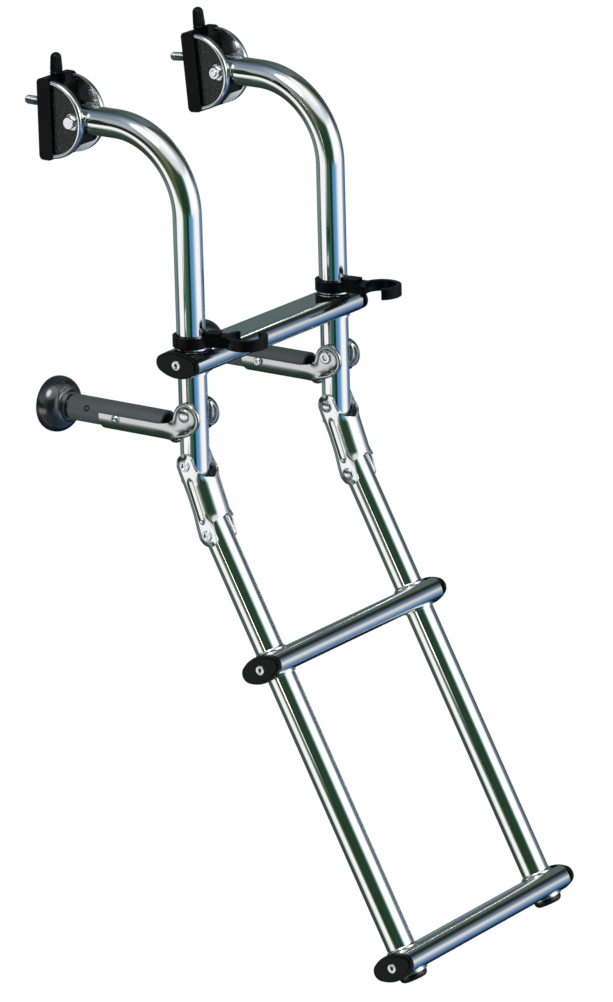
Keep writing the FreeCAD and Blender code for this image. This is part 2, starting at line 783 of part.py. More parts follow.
# Fold links: drawn hanging straight down from the upper rivet

def fold_link(name, x):
    """A stamped double-pivot link: two cheeks with round lobes, joined by a half-round web."""
    body = new_node(name)
    lobe = "link_lobe_radius"
    inner_lobe = "(link_lobe_radius - link_edge_width)"
    low = "(0 - link_length)"
    for side in (-1, 1):
        cheek = new_sketch(body, "YZ_Plane", f"{side} * {SIDE_IN}")
        draw_outline(cheek, [
            (lobe, "0", lobe, 1),
            ("0", lobe, lobe, 1),
            (f"0 - {lobe}", "0"),
            (f"0 - {lobe}", "0 - link_rim + link_hip", "link_hip", 1),
            (f"0 - {lobe} + link_hip", "0 - link_rim"),
            ("0", "0 - link_rim"),
            ("0", f"{low} + link_rim"),
            (f"0 - {lobe} + link_hip", f"{low} + link_rim", "link_hip", 1),
            (f"0 - {lobe}", f"{low} + link_rim - link_hip"),
            (f"0 - {lobe}", low, lobe, 1),
            ("0", f"{low} - {lobe}", lobe, 1),
            (lobe, low),
        ])
        pad(body, cheek, "link_thick", back=side < 0)
        edge = new_sketch(body, "YZ_Plane", f"{side} * {SIDE_IN}")
        draw_outline(edge, [
            ("0", f"{low} - {lobe}", lobe, 1),
            (lobe, low),
            (lobe, "0", lobe, 1),
            ("0", lobe),
            ("0", inner_lobe, inner_lobe, -1),
            (inner_lobe, "0"),
            (inner_lobe, low, inner_lobe, -1),
            ("0", f"{low} - {inner_lobe}"),
        ])
        pad(body, edge, "link_thick + link_edge_rise", back=side < 0)
    web = new_sketch(body, "XY_Plane", f"{low} + link_rim")
    outer = f"({SIDE_IN} + link_thick)"
    draw_outline(web, [
        (f"0 - {outer}", "link_thick"),
        (f"0 - {outer}", "0", outer, 1),
        ("0", f"0 - {outer}", outer, 1),
        (outer, "0"),
        (outer, "link_thick"),
        (SIDE_IN, "link_thick"),
        (SIDE_IN, "0", SIDE_IN, -1),
        ("0", f"0 - {SIDE_IN}", SIDE_IN, -1),
        (f"0 - {SIDE_IN}", "0"),
        (f"0 - {SIDE_IN}", "link_thick"),
    ])
    pad(body, web, "link_length - 2 * link_rim")
    # a long slot is pressed into each cheek
    middle, half, end = "(0 - link_length / 2)", "(link_slot_half - link_slot_radius)", "link_slot_radius"
    for side in (-1, 1):
        slot = new_sketch(body, "YZ_Plane", f"{side} * ({outer} - link_slot_depth)")
        draw_outline(slot, [
            (end, f"{middle} - {half}"),
            (end, f"{middle} + {half}", end, 1),
            ("0", f"{middle} + {half} + {end}", end, 1),
            (f"0 - {end}", f"{middle} + {half}"),
            (f"0 - {end}", f"{middle} - {half}", end, 1),
            ("0", f"{middle} - {half} - {end}", end, 1),
        ])
        pocket(body, slot, "2 * link_slot_depth", back=side > 0)
    for z in ("0", low):
        drilled(body, "YZ_Plane", "0", z, "rivet_radius + pin_gap", "4 * tube_od")
    place(body, x, STILE_Y, PIVOT_Z, "0 - link_angle")
    return body


# Lower section: drawn hanging straight down from the lower rivet

LOWER_PLACE = {"y": LOWER_Y, "z": LOWER_Z, "turn": "0 - lower_angle"}
LOWER_FOOT = "(0 - middle_step_run - step_spacing - lower_end)"


def lower_stile(name, x):
    body = turned(name, [
        ("tube_od / 2 - tube_wall", LOWER_FOOT),
        ("tube_od / 2", LOWER_FOOT),
        ("tube_od / 2", "stile_tail"),
        ("tube_od / 2 - tube_wall", "stile_tail"),
    ])
    drilled(body, "YZ_Plane", "0", "0", "rivet_radius + pin_gap", "2 * tube_od")
    place(body, x, **LOWER_PLACE)
    return body


def foot_plug(name, x):
    """The nylon plug in the open foot of a lower stile."""
    inside = "(tube_od / 2 - tube_wall - plug_gap)"
    body = turned(name, [
        ("0", f"{LOWER_FOOT} - foot_plug_height"),
        ("tube_od / 2 - foot_plug_round", f"{LOWER_FOOT} - foot_plug_height", "foot_plug_round", 1),
        ("tube_od / 2", f"{LOWER_FOOT} - foot_plug_height + foot_plug_round"),
        ("tube_od / 2", LOWER_FOOT),
        (inside, LOWER_FOOT),
        (inside, f"{LOWER_FOOT} + foot_plug_depth"),
        ("0", f"{LOWER_FOOT} + foot_plug_depth"),
    ])
    place(body, x, **LOWER_PLACE)
    return body


SIDES = {"left": "0", "right": "stile_spacing"}

for side, x in SIDES.items():
    bracket(side, x, "0 - bracket_turn" if side == "right" else "0")
    upper_stile(f"{side}_upper_stile", x)
    stile_hook(f"{side}_stile_hook", x, side == "right", f"{side}_hook_turn")
    leg_channel(f"{side}_leg_channel", x)
    leg_tube(f"{side}_leg_tube", x)
    leg_foot(f"{side}_leg_foot", x)
    cross_pin(f"{side}_leg_bolt", x, STILE_Y, f"{PIVOT_Z} + leg_rise", "leg_bolt_radius",
              f"({SIDE_IN} + leg_ear_thick)", "leg_bolt_head", "leg_bolt_head_thick")
    cross_pin(f"{side}_leg_screw", x, f"{STILE_Y} + leg_screw_place",
              f"{PIVOT_Z} + leg_rise - leg_axis_drop", "leg_screw_radius",
              f"({LEG_TROUGH_IN} + leg_ear_thick)", "leg_screw_head", "leg_bolt_head_thick")
    fold_link(f"{side}_fold_link", x)
    rivet = ("rivet_radius", f"({SIDE_IN} + link_thick)", "rivet_head_radius", "rivet_head_thick")
    cross_pin(f"{side}_upper_rivet", x, STILE_Y, PIVOT_Z, *rivet)
    cross_pin(f"{side}_lower_rivet", x, LOWER_Y, LOWER_Z, *rivet)
    lower_stile(f"{side}_lower_stile", x)
    foot_plug(f"{side}_foot_plug", x)

oval_step("top_step", STILE_Y, f"({PIVOT_Z} + top_step_rise)")
grouped("top_step_caps", step_caps("top_step_cap", STILE_Y, f"({PIVOT_Z} + top_step_rise)"))
lower_steps = {"middle": "(0 - middle_step_run)", "bottom": "(0 - middle_step_run - step_spacing)"}
for which, up in lower_steps.items():
    step = oval_step(f"{which}_step", "0", up)
    place(step, **LOWER_PLACE)
    caps = grouped(f"{which}_step_caps", step_caps(f"{which}_step_cap", "0", up))
    place(caps, **LOWER_PLACE)

doc.recompute()

faults = [f"{item.Name}: {item.State}" for item in doc.Objects
          if {"Invalid", "Error"} & set(item.State)]
for node in nodes:
    if node.Shape.isNull() or not node.Shape.isValid() or not node.Shape.Solids:
        faults.append(f"{node.Label}: no valid solid")
if faults:
    raise RuntimeError("; ".join(faults))

os.makedirs("parts", exist_ok=True)
for node in nodes:
    node.Shape.exportStep(os.path.join("parts", node.Label + ".step"))
    box = node.Shape.BoundBox
    print(f"{node.Label}: {len(node.Shape.Solids)} solid, {node.Shape.Volume / 1000:.1f} cm3, "
          f"z {box.ZMin:.1f} to {box.ZMax:.1f}")
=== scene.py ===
import json
import math

import bmesh
import bpy
from mathutils import Matrix, Vector
from mathutils.geometry import tessellate_polygon
from mathutils.kdtree import KDTree


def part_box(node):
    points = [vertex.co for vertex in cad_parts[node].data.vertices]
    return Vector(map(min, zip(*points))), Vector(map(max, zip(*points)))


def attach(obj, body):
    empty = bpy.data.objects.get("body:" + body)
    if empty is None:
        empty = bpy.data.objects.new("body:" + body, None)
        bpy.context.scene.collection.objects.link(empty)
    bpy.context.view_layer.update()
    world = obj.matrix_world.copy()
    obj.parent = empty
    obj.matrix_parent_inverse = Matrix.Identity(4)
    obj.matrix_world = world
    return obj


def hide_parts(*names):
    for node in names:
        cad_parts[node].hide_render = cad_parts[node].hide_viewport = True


bl_info = {
    "name": "Folding Swim Ladder",
    "version": (1, 0, 0),
    "blender": (4, 5, 0),
    "location": "3D View > Sidebar > Swim Ladder",
    "description": "Finishes the packed swim ladder: polished tubes, welds, nylon fittings, "
                   "stamped links, rubber feet and a plain studio",
    "category": "Add Mesh",
}

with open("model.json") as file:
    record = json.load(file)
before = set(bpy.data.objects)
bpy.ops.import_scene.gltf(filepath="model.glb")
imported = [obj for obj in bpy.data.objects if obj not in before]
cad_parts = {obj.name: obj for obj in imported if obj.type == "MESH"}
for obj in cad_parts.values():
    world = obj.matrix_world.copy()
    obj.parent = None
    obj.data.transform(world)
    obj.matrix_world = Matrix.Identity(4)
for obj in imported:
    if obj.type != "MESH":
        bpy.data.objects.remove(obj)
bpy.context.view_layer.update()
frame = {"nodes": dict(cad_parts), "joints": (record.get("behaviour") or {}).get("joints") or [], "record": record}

NODES = frame["nodes"]
BODY_OF = {
    node: body
    for body, members in frame["record"]["behaviour"]["bodies"].items()
    for node in members
}
SIDES = {"left": -1.0, "right": 1.0}
STEPS = ("top", "middle", "bottom")
ACROSS = (1.0, 0.0, 0.0)
MM = 0.001

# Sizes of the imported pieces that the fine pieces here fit, in millimetres
TUBE_OD = 25.0
STEP_DEPTH = 40.0
STEP_THICK = 20.0
SIDE_GAP = 0.4
PLATE_IN = TUBE_OD / 2 + SIDE_GAP
CHEEK_SHEET = 2.0
CHEEK_HALF = 34.0
CHEEK_REACH = 31.0
CHEEK_RISE = 5.5
CHEEK_BEAD = 4.4
SLAB_THICK = 14.0
SLAB_HEIGHT = 71.0
BOLT_WELL = 7.2
STUD_RISE = 10.0
STUD_DEPTH = 12.0
STUD_REACH = 26.0
PIN_PLACE = 7.0
KNOB_RADIUS = 5.6
KNOB_HEIGHT = 19.0
EAR_SHEET = 1.5
EAR_OUT = PLATE_IN + EAR_SHEET
EAR_RADIUS = 13.5
EAR_FORWARD = 3.0
EAR_LOW = 2.0
TROUGH_OUT = 11.5 + 0.3 + EAR_SHEET
TROUGH_LOW = 14.5
TROUGH_TOP = 11.3
TROUGH_START = 15.0
TROUGH_END = 92.0
TROUGH_SPLIT = 30.0
LEG_TUBE = 11.5
LEG_WALL = 3.0
TUBE_START = 27.5
SPARE_HOLE = 107.0
FOOT_START = 128.0
LINK_SHEET = 2.0
LINK_OUT = PLATE_IN + LINK_SHEET
LINK_LOBE = 10.2
LINK_BEND = -9.5
LINK_PITCH = 62.5
LINK_FRONT = 16.2
RIVET_HEAD = 5.6
MIRROR = Matrix.Diagonal((-1.0, 1.0, 1.0))


# Settings: the looks and the small sizes that a user would change

def colour(name, description, default):
    return bpy.props.FloatVectorProperty(
        name=name, description=description, default=default, size=3, min=0.0, max=1.0, subtype="COLOR")


def length(name, description, default):
    return bpy.props.FloatProperty(
        name=name, description=description, default=default, min=0.0, subtype="DISTANCE", unit="LENGTH")


def angle(name, description, default):
    return bpy.props.FloatProperty(
        name=name, description=description, default=math.radians(default), subtype="ANGLE", unit="ROTATION")


def share(name, description, default):
    return bpy.props.FloatProperty(
        name=name, description=description, default=default, min=0.0, max=1.0, subtype="FACTOR")


class FinishSettings(bpy.types.PropertyGroup):
    """Colours and roughnesses of the ladder's materials."""
    steel: colour("Polished Steel", "Colour of the polished tubes and steps", (0.82, 0.825, 0.83))
    steel_roughness: share("Steel Roughness", "Roughness of the polished tubes and steps", 0.10)
    stamped_roughness: share("Stamping Roughness", "Roughness of the stamped links and troughs", 0.16)
    nylon: colour("Black Nylon", "Colour of the bracket mouldings, hooks and caps", (0.0012, 0.0012, 0.0015))
    nylon_roughness: share("Nylon Roughness", "Roughness of the nylon mouldings", 0.30)
    nylon_shine: share("Nylon Shine", "Strength of the nylon's reflections", 0.10)
    rubber: colour("Foot Rubber", "Colour of the rubber feet", (0.004, 0.007, 0.010))
    rubber_roughness: share("Rubber Roughness", "Roughness of the rubber feet", 0.20)
    rubber_shine: share("Rubber Shine", "Strength of the rubber's reflections", 0.85)
    leg_nylon: colour("Leg Nylon", "Colour of the standoff legs' nylon tubes", (0.060, 0.080, 0.082))
    edge_width: length("Moulded Edge", "Rounding on the edges of moulded pieces", 0.8 * MM)
    tube_edge: length("Tube Edge", "Rounding on the ends of the tubes", 0.5 * MM)


class HardwareSettings(bpy.types.PropertyGroup):
    """Sizes of the small fasteners and trim, in metres."""
    bolt_thread: length("Bolt Thread", "Outside radius of the bracket bolt", 3.0 * MM)
    bolt_flats: length("Bolt Flats", "Width across the flats of the bolt's head and nut", 10.0 * MM)
    bolt_head: length("Bolt Head", "Thickness of the bolt's head and nut", 4.2 * MM)
    washer: length("Washer", "Radius of the bolt's washers", 6.5 * MM)
    washer_thick: length("Washer Thickness", "Thickness of the bolt's washers", 1.2 * MM)
    stud_thread: length("Stud Thread", "Outside radius of the mounting stud", 4.0 * MM)
    cap_screw: length("Cap Screw", "Radius of the screw head in each step cap", 4.4 * MM)
    flute_count: bpy.props.IntProperty(
        name="Flutes", description="Grooves round each pull knob", default=14, min=3)
    flute_depth: length("Flute Depth", "Depth of the grooves round each pull knob", 0.55 * MM)
    weld_leg: length("Upper Weld", "Reach of the weld on top of each step", 3.1 * MM)
    lower_weld: length("Lower Weld", "Reach of the weld under each step", 1.9 * MM)
    inlay_thick: length("Inlay", "Thickness of the nylon inlay in each cheek", 0.9 * MM)


class StudioSettings(bpy.types.PropertyGroup):
    """Camera, floor and lamps."""
    azimuth: angle("Azimuth", "Direction of the camera round the ladder", -54.01)
    elevation: angle("Elevation", "Height of the camera above the horizon", 17.38)
    roll: angle("Roll", "Tilt of the camera's frame", -1.53)
    distance: length("Distance", "Distance from the camera to its target", 5.1496)
    target: bpy.props.FloatVectorProperty(
        name="Target", description="Point that the camera looks at", size=3,
        default=(0.0455, -0.2239, -0.3211), subtype="TRANSLATION", unit="LENGTH")
    lens: bpy.props.FloatProperty(
        name="Lens", description="Focal length of the camera", default=217.35, min=1.0,
        unit="CAMERA")
    floor_depth: length("Floor Depth", "Drop from the origin to the floor", 1.25)
    floor_colour: colour("Floor Colour", "Colour of the floor and the backdrop", (0.92, 0.92, 0.92))
    fill: share("Fill Light", "Strength of the even light from all round", 0.62)
    reflection: bpy.props.FloatProperty(
        name="Reflection", description="Strength of the bands that the steel mirrors", default=1.12,
        min=0.0)
    lamp_power: bpy.props.FloatProperty(
        name="Lamp Power", description="Power of the main lamp", default=34.0, min=0.0, unit="POWER")


# Node helpers

def wire(tree, content, socket):
    """Feed an input from another node's socket, or give it a plain value."""
    if isinstance(content, bpy.types.NodeSocket):
        tree.links.new(content, socket)
    else:
        socket.default_value = content


def add_node(tree, kind, inputs=None, **values):
    """A node with its values set, and its inputs fed by name or number."""
    node = tree.nodes.new(kind)
    for key, content in values.items():
        setattr(node, key, content)
    for socket, content in (inputs or {}).items():
        wire(tree, content, node.inputs[socket])
    return node


def math_node(tree, operation, first, second):
    return add_node(tree, "ShaderNodeMath", {0: first, 1: second}, operation=operation).outputs[0]


def blend(tree, factor, first, second):
    """A mix of two colours."""
    return add_node(tree, "ShaderNodeMix", {"Factor": factor, 6: first, 7: second},
                    data_type="RGBA").outputs[2]


def noise(tree, place, scale, detail):
    """A cloudy value over the piece."""
    return add_node(tree, "ShaderNodeTexNoise", {"Vector": place, "Scale": scale, "Detail": detail},
                    noise_dimensions="3D").outputs["Fac"]


def ramp_node(tree, factor, stops):
    """A colour ramp with stops of (place, colour)."""
    node = add_node(tree, "ShaderNodeValToRGB", {"Fac": factor})
    elements = node.color_ramp.elements
    while len(elements) < len(stops):
        elements.new(0.5)
    for element, (place, tone) in zip(elements, stops):
        element.position = place
        element.color = (*tone, 1.0)
    return node.outputs["Color"]


def shared_effect(name, inputs, outputs):
    """A shader node group with named inputs and outputs, and its two end nodes."""
    tree = bpy.data.node_groups.new(name, "ShaderNodeTree")
    kinds = {True: "NodeSocketColor", False: "NodeSocketFloat"}
    for socket, default in inputs.items():
        made = tree.interface.new_socket(name=socket, in_out="INPUT", socket_type=kinds[socket == "Colour"])
        made.default_value = default
    for socket in outputs:
        tree.interface.new_socket(name=socket, in_out="OUTPUT", socket_type=kinds[socket == "Colour"])
    return tree, add_node(tree, "NodeGroupInput"), add_node(tree, "NodeGroupOutput")


def polish_haze():
    """Faint cloudy changes in a polished metal's roughness, with fine rubbing marks."""
    tree, start, end = shared_effect("polish_haze", {"Roughness": 0.1, "Spread": 0.05, "Scale": 60.0},
                                     ("Roughness", "Height"))
    place = add_node(tree, "ShaderNodeTexCoord").outputs["Object"]
    cloud = math_node(tree, "SUBTRACT", noise(tree, place, start.outputs["Scale"], 4.0), 0.5)
    swing = math_node(tree, "MULTIPLY", cloud, start.outputs["Spread"])
    wire(tree, math_node(tree, "ADD", start.outputs["Roughness"], swing), end.inputs["Roughness"])
    wire(tree, noise(tree, place, 900.0, 2.0), end.inputs["Height"])


def moulded_grain():
    """The fine spark-eroded grain of a moulding, with softer patches where it is rubbed."""
    tree, start, end = shared_effect(
        "moulded_grain",
        {"Colour": (0.01, 0.01, 0.01, 1.0), "Roughness": 0.4, "Scale": 1400.0, "Rubbed": 0.12,
         "Bloom": 0.02}, ("Colour", "Roughness", "Height"))
    place = add_node(tree, "ShaderNodeTexCoord").outputs["Object"]
    patch = noise(tree, place, 55.0, 5.0)
    swing = math_node(tree, "MULTIPLY", math_node(tree, "SUBTRACT", patch, 0.5), start.outputs["Rubbed"])
    wire(tree, math_node(tree, "SUBTRACT", start.outputs["Roughness"], swing), end.inputs["Roughness"])
    lighter = math_node(tree, "MULTIPLY", patch, start.outputs["Bloom"])
    wire(tree, blend(tree, lighter, start.outputs["Colour"], (0.30, 0.33, 0.36, 1.0)), end.inputs["Colour"])
    wire(tree, noise(tree, place, start.outputs["Scale"], 3.0), end.inputs["Height"])


def new_material(name):
    """A material that is named apart from the record's slots, with its tree and its shader."""
    made = bpy.data.materials.new(f"fine_{name}")
    made.use_nodes = True
    return made, made.node_tree, made.node_tree.nodes["Principled BSDF"]


def fine_material(name, looks, effect, spread, bump, depth):
    """A finish: plain values on its shader, and one of the shared effects over it."""
    _, tree, shader = new_material(name)
    for socket, content in looks.items():
        shader.inputs[socket].default_value = content
    surface = add_node(tree, "ShaderNodeGroup", spread, node_tree=bpy.data.node_groups[effect])
    relief = add_node(tree, "ShaderNodeBump",
                      {"Strength": bump, "Distance": depth, "Height": surface.outputs["Height"]})
    wire(tree, relief.outputs["Normal"], shader.inputs["Normal"])
    wire(tree, surface.outputs["Roughness"], shader.inputs["Roughness"])
    if "Colour" in surface.outputs:
        wire(tree, surface.outputs["Colour"], shader.inputs["Base Color"])


def steel_material(name, base, roughness, spread, bump, scale, depth=0.02 * MM):
    """Stainless steel: a mirror with a faint haze and fine rubbing marks."""
    fine_material(name, {"Base Color": (*base, 1.0), "Metallic": 1.0}, "polish_haze",
                  {"Roughness": roughness, "Spread": spread, "Scale": scale}, bump, depth)


def plastic_material(name, base, roughness, bump, scale=1400.0, shine=0.5, bloom=0.004, depth=0.05 * MM,
                     ior=1.5):
    """A moulding with a fine grain."""
    grain = {"Colour": (*base, 1.0), "Roughness": roughness, "Scale": scale, "Bloom": bloom}
    fine_material(name, {"IOR": ior, "Specular IOR Level": shine}, "moulded_grain", grain, bump, depth)


# Mesh helpers

def crease_modifier():
    """A geometry node group that joins a CAD mesh's seams and shades it smooth up to an angle."""
    seam, sharp = 0.002 * MM, math.radians(32.0)
    tree = bpy.data.node_groups.new("smooth_faces", "GeometryNodeTree")
    for way in ("INPUT", "OUTPUT"):
        tree.interface.new_socket(name="Geometry", in_out=way, socket_type="NodeSocketGeometry")
    start, end = add_node(tree, "NodeGroupInput"), add_node(tree, "NodeGroupOutput")
    merge = add_node(tree, "GeometryNodeMergeByDistance",
                     {"Geometry": start.outputs[0], "Distance": seam})
    bend = add_node(tree, "GeometryNodeInputMeshEdgeAngle").outputs["Unsigned Angle"]
    flat = add_node(tree, "FunctionNodeCompare", {0: bend, 1: sharp}, data_type="FLOAT",
                    operation="LESS_THAN").outputs["Result"]
    faces = add_node(tree, "GeometryNodeSetShadeSmooth", {"Geometry": merge.outputs["Geometry"]},
                     domain="FACE").outputs["Geometry"]
    edges = add_node(tree, "GeometryNodeSetShadeSmooth", {"Geometry": faces, "Shade Smooth": flat},
                     domain="EDGE")
    wire(tree, edges.outputs["Geometry"], end.inputs[0])


def smooth_faces(piece):
    smooth = piece.modifiers.new("smooth_faces", "NODES")
    smooth.node_group = bpy.data.node_groups["smooth_faces"]


def dress(node, finish, edge=0.0, segments=2):
    """Give a CAD node its finish, with soft edges."""
    piece = NODES[node]
    piece.data.materials.clear()
    piece.data.materials.append(bpy.data.materials[f"fine_{finish}"])
    smooth_faces(piece)
    if edge:
        bevel = piece.modifiers.new("soft_edges", "BEVEL")
        bevel.width = edge
        bevel.segments = segments
        bevel.limit_method = "ANGLE"
        bevel.angle_limit = math.radians(40.0)
        bevel.harden_normals = True
        bevel.use_clamp_overlap = True
        bevel.miter_outer = "MITER_ARC"


def middle(node):
    """The middle of a CAD node's box at rest."""
    low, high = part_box(node)
    return (low + high) / 2


def seat(origin, axis, across=None):
    """A frame at a point whose Z is the given direction."""
    up = Vector(axis).normalized()
    side = Vector(across).normalized() if across else up.orthogonal().normalized()
    turn = Matrix((side, up.cross(side), up)).transposed().to_4x4()
    turn.translation = origin
    return turn


def bracket_seat(side):
    """The frame of one bracket: its origin on the back face, level with the bolt, and Z up the face."""
    pull = next(joint for joint in frame["joints"] if joint["name"] == f"{side}_pin_pull")
    up = Vector(pull["axis"]).normalized()
    back = up.cross(Vector(ACROSS))
    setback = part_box("left_bracket_base")[1].y - middle("left_bracket_bolt").y
    return seat(middle(f"{side}_bracket_bolt") + back * setback, up, ACROSS)


def rounded(points, steps=4):
    """A profile of (radius, height, rounding) points, with each rounded corner as a short curve."""
    result = []
    for index, (x, y, size) in enumerate(points):
        corner = Vector((x, y))
        if not size:
            result.append((x, y))
            continue
        start = corner + (Vector(points[index - 1][:2]) - corner).normalized() * size
        stop = corner + (Vector(points[index + 1][:2]) - corner).normalized() * size
        for step in range(steps + 1):
            part = step / steps
            point = start * (1 - part) ** 2 + corner * 2 * part * (1 - part) + stop * part ** 2
            result.append((point.x, point.y))
    return result


def arc(radius, height, reach, rise, bends):
    """Points of a profile along a curve round a middle, at bends in degrees."""
    return [(radius + reach * math.cos(math.radians(bend)), height + rise * math.sin(math.radians(bend)))
            for bend in bends]


def lathe(bm, rows, columns=48, shape=None, looped=False):
    """Add a turned form: rows of (radius, height), and shape changes them round the axis."""
    rings = []
    for radius, height in rows:
        if radius == 0.0:
            rings.append([bm.verts.new((0.0, 0.0, height))])
            continue
        ring = []
        for column in range(columns):
            turn = 2 * math.pi * column / columns
            reach, rise = shape(radius, height, turn) if shape else (radius, height)
            ring.append(bm.verts.new((reach * math.cos(turn), reach * math.sin(turn), rise)))
        rings.append(ring)
    pairs = list(zip(rings, rings[1:]))
    if looped:
        pairs.append((rings[-1], rings[0]))
    for first, second in pairs:
        for column in range(columns):
            after = (column + 1) % columns
            corners = [first[column % len(first)], first[after % len(first)],
                       second[after % len(second)], second[column % len(second)]]
            bm.faces.new(list(dict.fromkeys(corners)))


def smooth_step(part):
    """An eased rise from 0 to 1."""
    part = min(max(part, 0.0), 1.0)
    return part * part * (3 - 2 * part)


def sheet_shell(bm, outer, inner, kept=None):
    """Add a closed sheet between two grids of points, over the cells that kept(row, column) allows."""
    rows, columns = len(outer), len(outer[0])
    made = [{}, {}]
    grids = (outer, inner)

    def vert(face, row, column):
        if (row, column) not in made[face]:
            made[face][row, column] = bm.verts.new(grids[face][row][column])
        return made[face][row, column]

    def used(row, column):
        inside = 0 <= row < rows - 1 and 0 <= column < columns - 1
        return inside and (kept is None or kept(row, column))

    for row in range(rows - 1):
        for column in range(columns - 1):
            if not used(row, column):
                continue
            corners = ((row, column), (row, column + 1), (row + 1, column + 1), (row + 1, column))
            for face in (0, 1):
                bm.faces.new([vert(face, *corner) for corner in corners])
            beside = ((row - 1, column), (row, column + 1), (row + 1, column), (row, column - 1))
            for index, cell in enumerate(beside):
                if not used(*cell):
                    start, stop = corners[index], corners[(index + 1) % 4]
                    bm.faces.new((vert(0, *start), vert(0, *stop), vert(1, *stop), vert(1, *start)))
    bmesh.ops.remove_doubles(bm, verts=bm.verts, dist=0.0005)


def nearest_to(points):
    """A lookup of the nearest of some points."""
    tree = KDTree(len(points))
    for index, point in enumerate(points):
        tree.insert(point, index)
    tree.balance()
    return tree


def make_piece(name, bm, place, finish, node, replaces=True, crease=True):
    """Finish a mesh that is drawn in millimetres, and put it in place on the body of a CAD node,
    which it stands for unless replaces is False."""
    bmesh.ops.recalc_face_normals(bm, faces=bm.faces)
    mesh = bpy.data.meshes.new(name)
    bm.to_mesh(mesh)
    bm.free()
    mesh.transform(place @ Matrix.Scale(MM, 4))
    mesh.materials.append(bpy.data.materials[f"fine_{finish}"])
    piece = bpy.data.objects.new(name, mesh)
    bpy.context.scene.collection.objects.link(piece)
    if crease:
        smooth_faces(piece)
    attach(piece, BODY_OF[node])
    if replaces:
        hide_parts(node)


def flat_bend(turn):
    """Angle from the middle of the nearest of six flats."""
    return turn % (math.pi / 3) - math.pi / 6


def six_sided(flats):
    """Cuts a round form down to six flats, which leaves chamfered corners."""
    def shape(radius, height, turn):
        return min(radius, flats / 2 / math.cos(flat_bend(turn))), height
    return shape


def socket(reach):
    """Gives the rows inside a screw head six flats, as a key's socket has."""
    def shape(radius, height, turn):
        if radius > reach:
            return radius, height
        return radius * math.cos(math.pi / 6) / math.cos(flat_bend(turn)), height
    return shape


def threaded(crest, root, pitch, start, stop):
    """Winds a thread round a rod between two heights."""
    def shape(radius, height, turn):
        if radius < root or not start <= height <= stop:
            return radius, height
        phase = (height / pitch - turn / (2 * math.pi)) % 1.0
        return root + (crest - root) * abs(2 * phase - 1), height
    return shape


def thread_rows(crest, pitch, start, stop):
    """Rows along a thread, six to each turn."""
    count = round((stop - start) / pitch * 6)
    return [(crest, start + (stop - start) * step / count) for step in range(count + 1)]


def hex_head(bm, flats, low, thick, outward):
    """A chamfered hexagon head, drawn up from a height; outward is 1 or -1 along the axis."""
    corner, chamfer = flats / 2 / math.cos(math.pi / 6), 0.9
    rows = ((corner, 0.0), (corner, thick - chamfer), (corner - chamfer, thick), (0.0, thick))
    lathe(bm, [(0.0, low)] + [(radius, low + outward * height) for radius, height in rows],
          columns=72, shape=six_sided(flats))


def washer(bm, radius, low, high):
    eased = (high - low) / 4
    lathe(bm, rounded([(0.0, low, 0), (radius, low, eased), (radius, high, eased), (0.0, high, 0)], 3))


# Operators

class LADDER_OT_make_finishes(bpy.types.Operator):
    """Build the materials and the shared effects that they use"""
    bl_idname = "ladder.make_finishes"
    bl_label = "Make Finishes"

    def execute(self, context):
        settings = context.scene.ladder_finish
        polish_haze()
        moulded_grain()
        crease_modifier()
        for name, share_of, roughness, spread, bump, scale in (
                ("polished_steel", 1.0, settings.steel_roughness, 0.04, 0.012, 60.0),
                ("stamped_steel", 1.0, settings.stamped_roughness, 0.08, 0.04, 140.0),
                # the pressed steel finish is the polished steel's colour at 0.72, a darker copy of it: painted
                # shade for the darker surroundings that the troughs mirror
                ("shaded_pressed_steel", 0.72, 0.20, 0.08, 0.05, 140.0),
                ("fastener_steel", 1.0, 0.20, 0.10, 0.08, 300.0),
                ("threaded_steel", 1.0, 0.24, 0.12, 0.15, 300.0)):
            steel = [share_of * part for part in settings.steel]
            steel_material(name, steel, roughness, spread, bump, scale)
        nylon, gloss, shine = settings.nylon, settings.nylon_roughness, settings.nylon_shine
        plastic_material("black_nylon", nylon, gloss, bump=0.35, shine=shine)
        plastic_material("cap_nylon", nylon, gloss, bump=0.8, scale=520.0, shine=shine * 1.6,
                         depth=0.12 * MM)
        plastic_material("boot_nylon", nylon, roughness=0.12, bump=0.1, shine=0.6)
        plastic_material("inlay_nylon", nylon, roughness=0.20, bump=1.0, scale=560.0, shine=0.9,
                         bloom=0.01, depth=0.9 * MM)
        plastic_material("foot_rubber", settings.rubber, settings.rubber_roughness, bump=0.3,
                         scale=420.0, shine=settings.rubber_shine, bloom=0.01, ior=1.75)
        plastic_material("knob_nylon", nylon, roughness=0.36, bump=0.4, shine=shine * 2)
        plastic_material("leg_nylon", settings.leg_nylon, roughness=0.40, bump=1.0, scale=640.0,
                         shine=0.4, bloom=0.12, depth=0.12 * MM)
        return {"FINISHED"}


class LADDER_OT_dress_frame(bpy.types.Operator):
    """Polish the tubes and the oval steps, and flow a weld round each stile"""
    bl_idname = "ladder.dress_frame"
    bl_label = "Tubes, Steps and Welds"

    def execute(self, context):
        settings, hardware = context.scene.ladder_finish, context.scene.ladder_hardware
        for side in SIDES:
            dress(f"{side}_upper_stile", "polished_steel", settings.tube_edge)
            dress(f"{side}_lower_stile", "polished_steel", settings.tube_edge)
        welds = (("upper", 1, hardware.weld_leg / MM), ("lower", -1, hardware.lower_weld / MM))
        for step in STEPS:
            dress(f"{step}_step", "polished_steel")
            for side in SIDES:
                for face, outward, leg in welds:
                    add_weld(f"{step}_step_{side}_{face}_weld", step, side, outward, leg)
        return {"FINISHED"}


def section_axis(section):
    """Direction up the stiles of the upper or the lower section."""
    if section == "upper":
        return Vector((0.0, 0.0, 1.0))
    return (middle("left_lower_rivet") - middle("left_lower_stile")).normalized()


